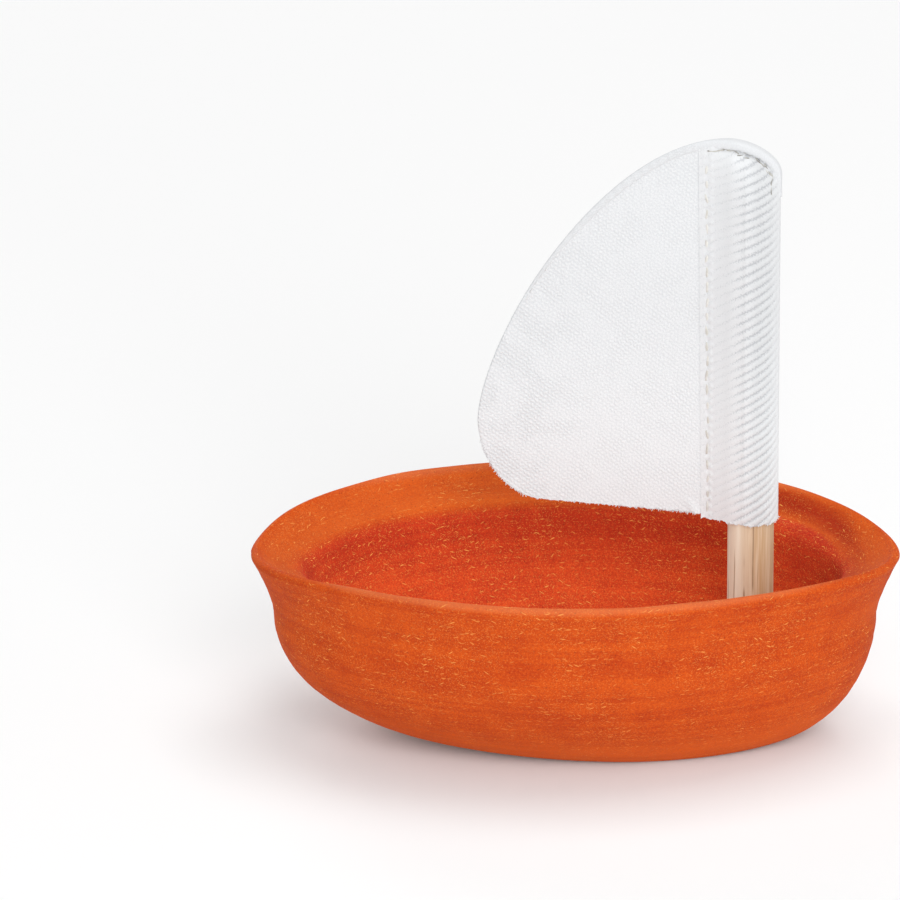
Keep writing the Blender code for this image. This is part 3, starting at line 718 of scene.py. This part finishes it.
def twill_group():
    """Node group: twill cloth in millimetres, as parallel cords cut into short beads.

    Cords repeat across their slope every Pitch, and a low Fullness makes them plump with narrow valleys.
    Beads repeat along a cord every Bead, half a bead on from cord to cord, and a cord sidles with each bead.
    Fuzz is fine and Patch broad unevenness. Head Shade, a painted shade, grows with Up, the height in
    metres, from the foot on.
    """
    starts = {"Up": 0.0, "Slope": 0.6, "Pitch": 1.1, "Fullness": 1.0, "Bead": 0.9, "Bead Depth": 0.5,
              "Sidle": 0.05, "Wobble": 0.15}
    group, inside, outside = new_group("twill", starts, ("Height", "Fuzz", "Patch", "Head Shade"))
    full_turn = 2 * math.pi
    drift = noise(group, inside["Vector"], 0.55, 4.0, 0.75, "2D")["Color"]
    drift = vectors(group, "SUBTRACT", drift, (0.5, 0.5, 0.5))
    moved = vectors(group, "ADD", inside["Vector"], vectors(group, "SCALE", drift, inside["Wobble"]))
    parts = split(group, turned_by(group, moved, inside["Slope"]))
    beads = maths(group, "DIVIDE", parts[0], inside["Bead"])
    sidle = maths(group, "SINE", maths(group, "MULTIPLY", beads, full_turn))
    rank = maths(group, "DIVIDE", parts[1], inside["Pitch"])
    rank = maths(group, "MULTIPLY_ADD", sidle, inside["Sidle"], rank)
    cord = maths(group, "COSINE", maths(group, "MULTIPLY", rank, full_turn))
    cord = maths(group, "POWER", maths(group, "MULTIPLY_ADD", cord, 0.5, 0.5), inside["Fullness"])
    beads = maths(group, "MULTIPLY_ADD", maths(group, "ROUND", rank), 0.5, beads)
    bead = maths(group, "COSINE", maths(group, "MULTIPLY", beads, full_turn))
    bead = maths(group, "MULTIPLY_ADD", bead, 0.5, -0.5)
    bead = maths(group, "MULTIPLY_ADD", bead, inside["Bead Depth"], 1.0)
    group.links.new(maths(group, "MULTIPLY", cord, bead), outside["Height"])
    group.links.new(noise(group, inside["Vector"], 2.6, 4.0, 0.75, "2D")[0], outside["Fuzz"])
    patch = noise(group, inside["Vector"], 0.14, 3.0, dimensions="2D")[0]
    group.links.new(remap(group, patch, 0.35, 0.65, 0.45, 1.0), outside["Patch"])
    head_shade = remap(group, inside["Up"], sleeve_foot + 0.006, sleeve_foot + 0.060)
    group.links.new(head_shade, outside["Head Shade"])
    return group


twill = twill_group()
# Painted shade across the sleeve: grey levels by the share of the way from the fold to the lap's edge.
sleeve_shade_stops = ((0.09, 0.96), (0.16, 0.90), (0.25, 0.835), (0.36, 0.825), (0.48, 0.93),
                     (0.60, 0.985), (0.70, 0.945))


def cotton(name, weave_values, valley_shade, top, relief_depth, fold=None):
    """White cotton: the twill group lifts the beads and darkens the valleys with painted shade, with a soft
    fuzz over both.

    The cloth is a little darker towards the head, a painted shade that keeps it no brighter than the less
    lit foot, and the weave is bolder in some patches than in others and further across the cloth. A fold
    is a place across it, in millimetres: the weave is then boldest about ten millimetres to either side
    and fades to a third at the fold and at the laps, and a ramp paints shade on the cloth about where it
    is boldest and along the laps.
    """
    material, tree, shader = new_material(
        name, {"Specular IOR Level": 0.15, "Sheen Weight": 0.12, "Sheen Roughness": 0.6})
    on_cloth = node(tree, "ShaderNodeUVMap", uv_map="cloth").outputs[0]
    upward = split(tree, node(tree, "ShaderNodeTexCoord").outputs["Object"])[2]
    inputs = {"Vector": on_cloth, "Up": upward, **weave_values}
    weave = node(tree, "ShaderNodeGroup", inputs, node_tree=twill).outputs
    sideways = split(tree, on_cloth)[0]
    if fold is None:
        bold = maths(tree, "MULTIPLY", weave["Patch"], remap(tree, sideways, 36.0, 62.0, 0.72, 1.5))
        level = 0.42
    else:
        sideways = maths(tree, "ABSOLUTE", maths(tree, "SUBTRACT", sideways, fold))
        from_bold = maths(tree, "ABSOLUTE", maths(tree, "SUBTRACT", sideways, 10.2))
        bold, level = remap(tree, from_bold, 7.6, 2.0, 0.30, 0.92), 0.9
    cords = maths(tree, "MULTIPLY_ADD", maths(tree, "SUBTRACT", weave["Height"], level), bold, level)
    lit = maths(tree, "ADD", cords, remap(tree, weave["Fuzz"], 0.3, 0.7, -0.35, 0.35))
    # Painted shade in the weave's hollows: the valleys take the darker colour.
    white = mix(tree, remap(tree, lit, 0.0, 0.8), valley_shade, top)
    # Painted shade: the cloth is multiplied darker towards the head.
    white = mix(tree, weave["Head Shade"], white, (0.905, 0.894, 0.896, 1), "MULTIPLY")
    if fold is not None:
        # Painted shade: the ramp darkens the sleeve most about ten millimetres from the fold and along the
        # laps.
        sleeve_shade_ramp = node(tree, "ShaderNodeValToRGB", {0: maths(tree, "DIVIDE", sideways, fold)})
        stops = sleeve_shade_ramp.color_ramp.elements
        sleeve_shade_ramp.color_ramp.interpolation = "EASE"
        for share, tone in sleeve_shade_stops:
            stops.new(share).color = (tone, tone, tone, 1)
        stops[0].color = (0.96, 0.96, 0.96, 1)
        stops[-1].color = (0.92, 0.92, 0.92, 1)
        white = mix(tree, 1.0, white, sleeve_shade_ramp.outputs[0], "MULTIPLY")
    raised = maths(tree, "MULTIPLY_ADD", weave["Fuzz"], 0.5, cords)
    dress(tree, shader, white, remap(tree, weave["Fuzz"], 0.3, 0.7, 0.85, 1.0), raised, 0.8, relief_depth)
    return material


panel_weave = {"Slope": -0.66, "Pitch": 0.92, "Fullness": 0.8, "Bead": 1.15, "Bead Depth": 0.70,
               "Sidle": 0.12, "Wobble": 1.1}
panel_cotton = cotton("white_cotton_twill", panel_weave, (0.760, 0.787, 0.806, 1),
                      (0.868, 0.893, 0.903, 1), 0.00014)
panel = place("sail_panel_cloth", panel_mesh, panel_cotton, "sail_body")
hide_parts("sail_panel")


# Mast sleeve: heavier twill with bold slanting ribs, folded round the mast and lapped on
# both faces of the panel, with a raw foot and a top that is drawn flat under the head roll.
sleeve_outer, lap_face, lap_start, sleeve_end = 0.0067, 0.00092, 0.0102, 0.0135
rib_pitch, rib_slope, rib_height = 0.00186, math.tan(math.radians(31)), 0.00034
tuck, roll_deep, drawn_deep = 0.0014, 0.0028, 0.013
stitch_run, sleeve_half, lap_press, lap_lean = 0.0020, 0.00030, 0.00033, 0.0012
hollow_deep, hollow_run, hollow_wide = 0.00012, 0.0068, 0.0020
sewn_deep, sewn_wide, pillow_high, pillow_run, pillow_wide = 0.00022, 0.0006, 0.00026, 0.0011, 0.0005
sleeve_rows, section_points = 400, 60


def sleeve_section(count):
    """Half section from the lap's free edge to the front fold, as (aft, half width) at even distances.

    It runs along the lap, straight to where it meets the circle round the mast, and along that circle;
    the angle between lap and straight run is eased by a weighted mean along the run, and the free edge is
    pressed down.
    """
    distance = math.hypot(lap_start, lap_face)
    leave = math.atan2(lap_face, -lap_start) - math.acos(sleeve_outer / distance)
    turn = np.linspace(leave, 0, 60)
    circle = np.stack([-sleeve_outer * np.cos(turn), sleeve_outer * np.sin(turn)], 1)
    path = evenly(np.concatenate([[[sleeve_end, lap_face], [lap_start, lap_face]], circle]), 400)
    far = np.linspace(0, distances(path)[-1], 400)
    near = np.exp(-((far[:, None] - far[None, :]) / 0.0020) ** 2)
    path[:, 1] = np.where(far < 0.5 * far[-1], near @ path[:, 1] / near.sum(1), path[:, 1])
    path[:, 1] = path[:, 1] - lap_press * (1 - ease(far, 0, stitch_run))
    return evenly(path, count)


def lap_slant(aft, up):
    """How far forward the lap leans: most at the foot and at its free edge, and nothing at the head."""
    return lap_lean * (1 - np.clip(up / sail_height, 0, 1)) * ease(aft, 0.0085, 0.0130)


def drawn_half(half, aft, up):
    """Half width of the sleeve, which draws in to the laps below the roll as a quarter circle."""
    drawn = np.clip((edge_height(aft) - up - roll_deep) / drawn_deep, 0, 1)
    return lap_face + (half - lap_face) * np.sqrt(1 - (1 - drawn) ** 2)


half_section = sleeve_section(section_points)
half_run = distances(half_section)
section_aft, section_half = np.concatenate([half_section, half_section[::-1][1:]]).T
section_sign = np.where(np.arange(len(section_aft)) < section_points, -1.0, 1.0)
section_run = np.concatenate([half_run, 2 * half_run[-1] - half_run[::-1][1:]])
top_of = edge_height(section_aft)[None, :] - tuck
share = np.linspace(0, 1, sleeve_rows)[:, None]
share = share + 0.35 * (ease(share) - share)
up = share * top_of
aft, run, sign, base_half = (np.repeat(row[None, :], sleeve_rows, 0)
                             for row in (section_aft, section_run, section_sign, section_half))
aft = aft - lap_slant(aft, up)
from_lap = np.minimum(run, section_run[-1] - run)
to_edge = edge_height(aft) - up

slack = (run - half_run[-1]) * rib_slope * 0.32 * ease(up, 0.040, 0.085)
rank = (up + slack - run * rib_slope) / (rib_pitch / math.cos(math.atan(rib_slope)))
rank = rank + 0.10 * ripple(run, up, 0.012, 21)
strength = 0.20 + 0.80 * ease(from_lap, 0.0082, 0.0147)
strength = strength * (1 - 0.75 * ease(half_run[-1] - from_lap, 0.0066, 0.0021))
strength = strength * ease(from_lap, 0, 0.0015) * ease(to_edge, 0.001, 0.004)
lift = rib_height * (np.abs(np.cos(math.pi * rank)) ** 0.5 - 0.55) * strength
base_half = np.where(base_half > lap_face, drawn_half(base_half, aft, up), base_half)
hollow = hollow_deep * np.exp(-((from_lap - hollow_run) / hollow_wide) ** 2)
sewn_in = np.exp(-((from_lap - stitch_run) / sewn_wide) ** 2)
sewn_in = sewn_in * (0.6 + 0.4 * np.cos(2 * math.pi * up / pucker_pitch)) * ease(up, 0.001, 0.003)
foot_fray = 0.00025 * ripple(run, 0 * run, 0.0014, 23) + 0.00022 * ripple(run, 0 * run, 0.0040, 24)
up = up + foot_fray * ease(up, 0.0025, 0)
pillow = np.exp(-((from_lap - stitch_run - pillow_run) / pillow_wide) ** 2)
pillow = pillow * (0.5 - 0.5 * np.cos(2 * math.pi * up / pucker_pitch))
push = lift - hollow - sewn_deep * sewn_in + pillow_high * pillow

side = sign * base_half
out = unit(np.stack([np.gradient(side, axis=1), -np.gradient(aft, axis=1)], -1))
out_aft, out_side = out[..., 0], out[..., 1]
across_sail = abs(out_side) > 0.2
out_aft = np.where(across_sail, out_aft * np.sign(out_side * sign), -abs(out_aft))
out_side = np.where(across_sail, abs(out_side) * sign, out_side)
sway = sail_sway(np.maximum(aft, luff_aft), up) * ease(aft, 0.007, 0.010)
outer_grid = sail_point(aft + out_aft * push, side + out_side * push + sway, up)
from_top = np.linalg.norm(np.stack([aft - aft[-1:], up - up[-1:]], -1), axis=-1)
inward = np.minimum(np.minimum(from_lap, up - up[:1]), from_top)
push = push - 2 * round_edge(inward, sleeve_half)
inner_grid = sail_point(aft + out_aft * push, side + out_side * push + sway, up)
sleeve_mesh = closed_sheet("mast_sleeve_cloth", outer_grid, inner_grid, np.stack([run, up + slack], -1))
sleeve_mesh.set_sharp_from_angle(angle=math.radians(60))
sleeve_weave = {"Slope": -math.atan(rib_slope), "Pitch": rib_pitch * mm, "Fullness": 0.5, "Bead": 0.95,
                "Bead Depth": 0.15, "Sidle": 0.032, "Wobble": 0.45}
sleeve_cotton = cotton("white_ribbed_twill", sleeve_weave, (0.640, 0.663, 0.688, 1),
                       (0.895, 0.920, 0.933, 1), 0.00014, half_run[-1] * mm)
sleeve = place("mast_sleeve_cloth", sleeve_mesh, sleeve_cotton, "sail_body")
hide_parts("mast_sleeve")


# Head roll and leech hem: the cloth's edge rolled over and sewn down, a plump roll over the
# sleeve's top that runs on as a flat hem and thins out two thirds of the way down the leech.
roll_points, roll_foot, roll_end, roll_half, roll_half_thick = 150, 0.0832, 0.0150, 0.00130, 0.00205
hem_points, hem_start, hem_share_of_leech = 260, 0.0135, 0.66
hem_half, hem_half_thick, hem_proud = 0.00105, 0.00056, 0.00030


def inset_path(path, inset):
    """A path moved to its right-hand side, which is inwards on the sail's edge, by an inset."""
    along = unit(np.gradient(path, axis=0))
    return path + np.stack([along[:, 1], -along[:, 0]], 1) * inset


def rolled_edge(path, wide, thick, shift, rows_round, name):
    """Closed tube with a flattened round section carried along an (aft, up) path.

    wide and thick are its half width in the sail's plane and across it; shift moves it across the sail.
    """
    turn = np.linspace(0, 2 * math.pi, rows_round, endpoint=False)[None, :]
    c, s = np.cos(turn), np.sin(turn)
    flat, deep = np.sign(c) * abs(c) ** 0.75, np.sign(s) * abs(s) ** 0.75
    inward = inset_path(path, 1.0) - path
    in_plane = path[:, None] + inward[:, None] * (wide[:, None] * flat)[..., None]
    points = sail_point(in_plane[..., 0], shift[:, None] + thick[:, None] * deep, in_plane[..., 1])
    girth = np.linspace(0, 0.008, rows_round + 1)[None, :]
    uv = np.stack(np.broadcast_arrays(distances(path)[:, None], girth), -1) * mm
    return face_out(skin(name, points, uv, "cloth"))


front_edge = np.stack([np.full(12, front_aft), np.linspace(roll_foot, 0.0886, 12)], 1)
roll_edge = np.concatenate([front_edge, head_edge, leech_edge[leech_edge[:, 0] < roll_end][1:]])
roll_edge = evenly(roll_edge, roll_points)
roll_share = np.linspace(0, 1, roll_points)
roll_wide = roll_half * (0.60 + 0.40 * ease(roll_share, 0, 0.20))
roll_wide = roll_wide * (1 - 0.20 * ease(roll_share, 0.70, 1))
roll_wide = roll_wide * (1 + 0.04 * np.cos(2 * math.pi * distances(roll_edge) / pucker_pitch))
roll_thick = roll_half_thick * (0.65 + 0.35 * ease(roll_share, 0, 0.14))
roll_thick = roll_thick * (1 - 0.70 * ease(roll_share, 0.55, 1))
roll_path = inset_path(roll_edge, (roll_wide * 0.98)[:, None])
roll_mesh = rolled_edge(roll_path, roll_wide, roll_thick, 0 * roll_share, 28, "head_roll")
roll_weave = {"Slope": 1.0, "Pitch": 0.55, "Fullness": 1.0, "Bead": 0.5, "Bead Depth": 0.6, "Sidle": 0.1,
              "Wobble": 1.2}
roll_cotton = cotton("white_rolled_cotton", roll_weave, (0.765, 0.788, 0.802, 1),
                     (0.812, 0.836, 0.850, 1), 0.00003)
hem_weave = {**roll_weave, "Slope": 0.5, "Pitch": 0.70, "Bead": 0.6}
hem_cotton = cotton("white_hem_cotton", hem_weave, (0.715, 0.737, 0.752, 1),
                    (0.815, 0.840, 0.853, 1), 0.00004)
head_roll = place("head_roll", roll_mesh, roll_cotton, "sail_body")

hem_edge = leech_edge[leech_edge[:, 0] > hem_start]
hem_edge = evenly(hem_edge[: int(len(hem_edge) * hem_share_of_leech)], hem_points)
hem_share, hem_far = np.linspace(0, 1, hem_points), distances(hem_edge)
hem_wide = hem_half * (1 - 0.62 * ease(hem_share, 0.25, 1))
hem_thick = hem_half_thick * (1 - 0.5 * ease(hem_share, 0.35, 1))
hem_thick = hem_thick * (1 + 0.05 * ripple(hem_far, 0 * hem_far, 0.0035, 31))
hem_path = inset_path(hem_edge, (hem_wide * 0.9)[:, None])
hem_shift = sail_sway(hem_path[:, 0], hem_path[:, 1]) - hem_proud * (1 - ease(hem_share, 0.6, 1))
hem_mesh = rolled_edge(hem_path, hem_wide, hem_thick, hem_shift, 20, "leech_hem_cloth")
hem = place("leech_hem_cloth", hem_mesh, hem_cotton, "sail_body")
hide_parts("leech_hem")


# Sewing: cotton thread in single stitches, cream down the lap on both faces of the sail, dark grey under
# the head roll, a painted shadow along the slit there, and white along the inner edge of the hem.
luff_pitch, luff_radius, luff_rise, luff_sunk = 0.0038, 0.00038, 0.00020, 0.00030
luff_jitter, luff_tilt, luff_shortest, luff_spread = 0.00009, 0.00016, 0.0020, 0.0010
head_count, head_radius, head_inset = 25, 0.00018, 0.0027
head_jitter, head_shortest, head_spread = 0.00022, 0.0004, 0.0005
leech_count, leech_radius, leech_half = 27, 0.00014, 0.0006
flat_rise = 0.00010


def tubes(lines, across, radius, sides, name):
    """Closed tubes along many paths with equal numbers of points: a ring of sides, square to the path.

    across is a direction that no path runs along; the rings are laid out from it.
    """
    along = unit(np.gradient(lines, axis=1))
    side = unit(np.cross(along, across))
    lift = np.cross(side, along)
    turn = np.linspace(0, 2 * math.pi, sides, endpoint=False)[:, None]
    points = lines[:, :, None] + radius * (side[:, :, None] * np.cos(turn) + lift[:, :, None] * np.sin(turn))
    index = np.arange(points[..., 0].size).reshape(points.shape[:3])
    faces = quads(np.concatenate([index, index[:, :, :1]], 2)).tolist()
    faces = faces + index[:, 0, ::-1].tolist() + index[:, -1].tolist()
    return face_out(new_mesh(name, points, faces))


def stitches(rows, rise, radius, name):
    """Stitches from rows of (starts, ends, outward side): each leaves the cloth, arches and dives back in.

    Its middle line goes straight from start to end and lifts by rise times a sine arch to its outward side.
    """
    starts, ends = (np.concatenate([row[k] for row in rows]) for k in (0, 1))
    outward = np.concatenate([np.repeat([[0.0, face, 0.0]], len(row), 0) for row, _, face in rows])[:, None]
    t = np.linspace(0, 1, 7)[None, :, None]
    arch = rise * (np.sin(math.pi * t) * 1.5 - 0.5)
    return tubes(starts[:, None] + (ends - starts)[:, None] * t + outward * arch, outward, radius, 6, name)


def ply_group():
    """Node group: two-ply thread, as diagonal bands for the ply and patches where it is soiled."""
    group, inside, outside = new_group("two_ply", {}, ("Ply", "Soil"))
    inputs = {"Vector": inside["Vector"], "Scale": 2600.0, "Distortion": 1.0}
    ply = node(group, "ShaderNodeTexWave", inputs, bands_direction="DIAGONAL").outputs[0]
    group.links.new(ply, outside["Ply"])
    group.links.new(remap(group, noise(group, inside["Vector"], 500.0, 1.0)[0], 0.42, 0.62), outside["Soil"])
    return group


two_ply = ply_group()


def thread(name, plain, soil_and_shadow):
    """Two-ply cotton thread: a plain colour, patches of a second one as soil, and paler bands for the ply.
    On the grey thread under the head roll both colours are painted shadow.
    """
    material, tree, shader = new_material(name, {"Roughness": 0.8})
    spot = node(tree, "ShaderNodeTexCoord").outputs["Object"]
    twist = node(tree, "ShaderNodeGroup", {"Vector": spot}, node_tree=two_ply).outputs
    colour = mix(tree, twist["Soil"], plain, soil_and_shadow)
    colour = mix(tree, remap(tree, twist["Ply"], 0.1, 0.9, 0.0, 0.3), colour, (0.84, 0.83, 0.79, 1))
    dress(tree, shader, colour, height=twist["Ply"], strength=0.5, depth=0.00008)
    return material


cream_thread = thread("cream_thread", (0.77, 0.755, 0.715, 1), (0.65, 0.63, 0.575, 1))
# Painted shadow: this dark grey thread stands in for the shadow along the slit under the head roll.
slit_shadow_thread = thread("slit_shadow_thread", (0.56, 0.54, 0.49, 1), (0.24, 0.23, 0.21, 1))
white_thread = thread("white_thread", (0.84, 0.85, 0.86, 1), (0.76, 0.76, 0.76, 1))

luff_up = np.arange(0.0016, edge_height(0.0113) - 0.0050, luff_pitch)
chance = np.random.default_rng(37)
luff_rows = []
for face in (-1.0, 1.0):
    aft = sleeve_end - stitch_run - lap_slant(sleeve_end - stitch_run, luff_up)
    aft = aft + luff_jitter * chance.normal(size=len(luff_up))
    slant = luff_tilt * chance.normal(size=len(luff_up))
    luff_top = luff_up + luff_shortest + luff_spread * chance.random(len(luff_up))
    stitch_side = face * (lap_face - luff_sunk) + sail_sway(aft, luff_up)
    luff_rows.append((sail_point(aft - slant, stitch_side, luff_up),
                      sail_point(aft + slant, stitch_side, luff_top), face))
luff_mesh = stitches(luff_rows, luff_rise, luff_radius, "luff_thread")
luff_thread = place("luff_thread", luff_mesh, cream_thread, "sail_body")
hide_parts("luff_stitching")

chance = np.random.default_rng(39)
under_roll = evenly(roll_edge[10:131], head_count)
under_roll = inset_path(under_roll, head_inset + head_jitter * chance.normal(size=(head_count, 1)))
head_aft, head_up = under_roll.T
head_half = np.interp(head_aft, half_section[::-1, 0], half_section[::-1, 1])
head_half = drawn_half(np.maximum(head_half, lap_face), head_aft, head_up)
head_rows = []
for face in (-1.0, 1.0):
    middle = sail_point(head_aft, face * (head_half - 0.0001), head_up)
    half_long = head_shortest + head_spread * chance.random((head_count, 1))
    ahead = unit(np.gradient(middle, axis=0)) * half_long
    head_rows.append((middle - ahead, middle + ahead, face))
head_mesh = stitches(head_rows, flat_rise, head_radius, "head_thread")
head_thread = place("head_thread", head_mesh, slit_shadow_thread, "sail_body")
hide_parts("head_stitching")

hem_line = hem_edge[: int(hem_points * 0.9)]
hem_line = evenly(inset_path(hem_line, (hem_wide[: len(hem_line)] * 1.75)[:, None]), leech_count)
leech_side = sail_sway(hem_line[:, 0], hem_line[:, 1]) - cloth_half - 0.00005
middle = sail_point(hem_line[:, 0], leech_side, hem_line[:, 1])
ahead = unit(np.gradient(middle, axis=0)) * leech_half
leech_mesh = stitches([(middle - ahead, middle + ahead, -1.0)], flat_rise, leech_radius, "leech_thread")
leech_thread = place("leech_thread", leech_mesh, white_thread, "sail_body")
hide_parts("leech_stitching")


# Fray: loose cotton ends along the raw foot of the panel and of the sleeve,
# each a fine curled fibre that starts inside the cut edge.
fibre_radius, root_deep, root_spread = 0.00014, 0.0003, 0.0008
panel_fibres, panel_fibre_long, sleeve_fibres, sleeve_fibre_long = 1500, 0.00034, 1400, 0.00036


def fibres(roots, lean, length, seed, name):
    """Loose fibres: three-sided threads that start along lean and curl aside as their length squared."""
    chance = np.random.default_rng(seed)
    curl = chance.normal(size=(len(roots), 3))
    reach = (length * (0.35 + 0.9 * chance.random(len(roots))))[:, None, None]
    t = np.linspace(0, 1, 5)[None, :, None]
    lines = roots[:, None] + reach * (lean[:, None] * t + 0.55 * curl[:, None] * t ** 2)
    return tubes(lines, np.array([0.31, 0.87, 0.38]), fibre_radius * (1 - 0.4 * t[..., None]), 3, name)


loose_cotton, tree, shader = new_material("loose_cotton", {"Roughness": 0.95, "Specular IOR Level": 0.1})
lint = noise(tree, node(tree, "ShaderNodeTexCoord").outputs["Object"], 1500.0, 1.0)[0]
dress(tree, shader, mix(tree, lint, (0.84, 0.86, 0.87, 1), (0.93, 0.94, 0.95, 1)))

chance = np.random.default_rng(41)
foot_path = np.concatenate([[[luff_aft + 0.002, panel_foot]], clew_edge[::-1][:150]])
foot_aft, foot_up = evenly(foot_path, panel_fibres).T
foot_up = foot_up + root_deep
scatter = (chance.random(panel_fibres) - 0.5) * root_spread
roots = sail_point(foot_aft, sail_sway(foot_aft, foot_up) + scatter, foot_up)
lean = chance.normal(size=(panel_fibres, 3)) * 0.7 + np.array([0.0, 0.0, -0.3])
panel_fray_mesh = fibres(roots, lean, panel_fibre_long, 42, "panel_foot_fray")
panel_fray = place("panel_foot_fray", panel_fray_mesh, loose_cotton, "sail_body")
pick = chance.integers(2, outer_grid.shape[1] - 2, sleeve_fibres)
roots = outer_grid[0, pick] * 0.5 + inner_grid[2, pick] * 0.5 + np.array([0, 0, 0.0002])
lean = chance.normal(size=(sleeve_fibres, 3)) * 0.5 + np.array([0.0, 0.0, -0.5])
sleeve_fray_mesh = fibres(roots, lean, sleeve_fibre_long, 43, "sleeve_foot_fray")
sleeve_fray = place("sleeve_foot_fray", sleeve_fray_mesh, loose_cotton, "sail_body")
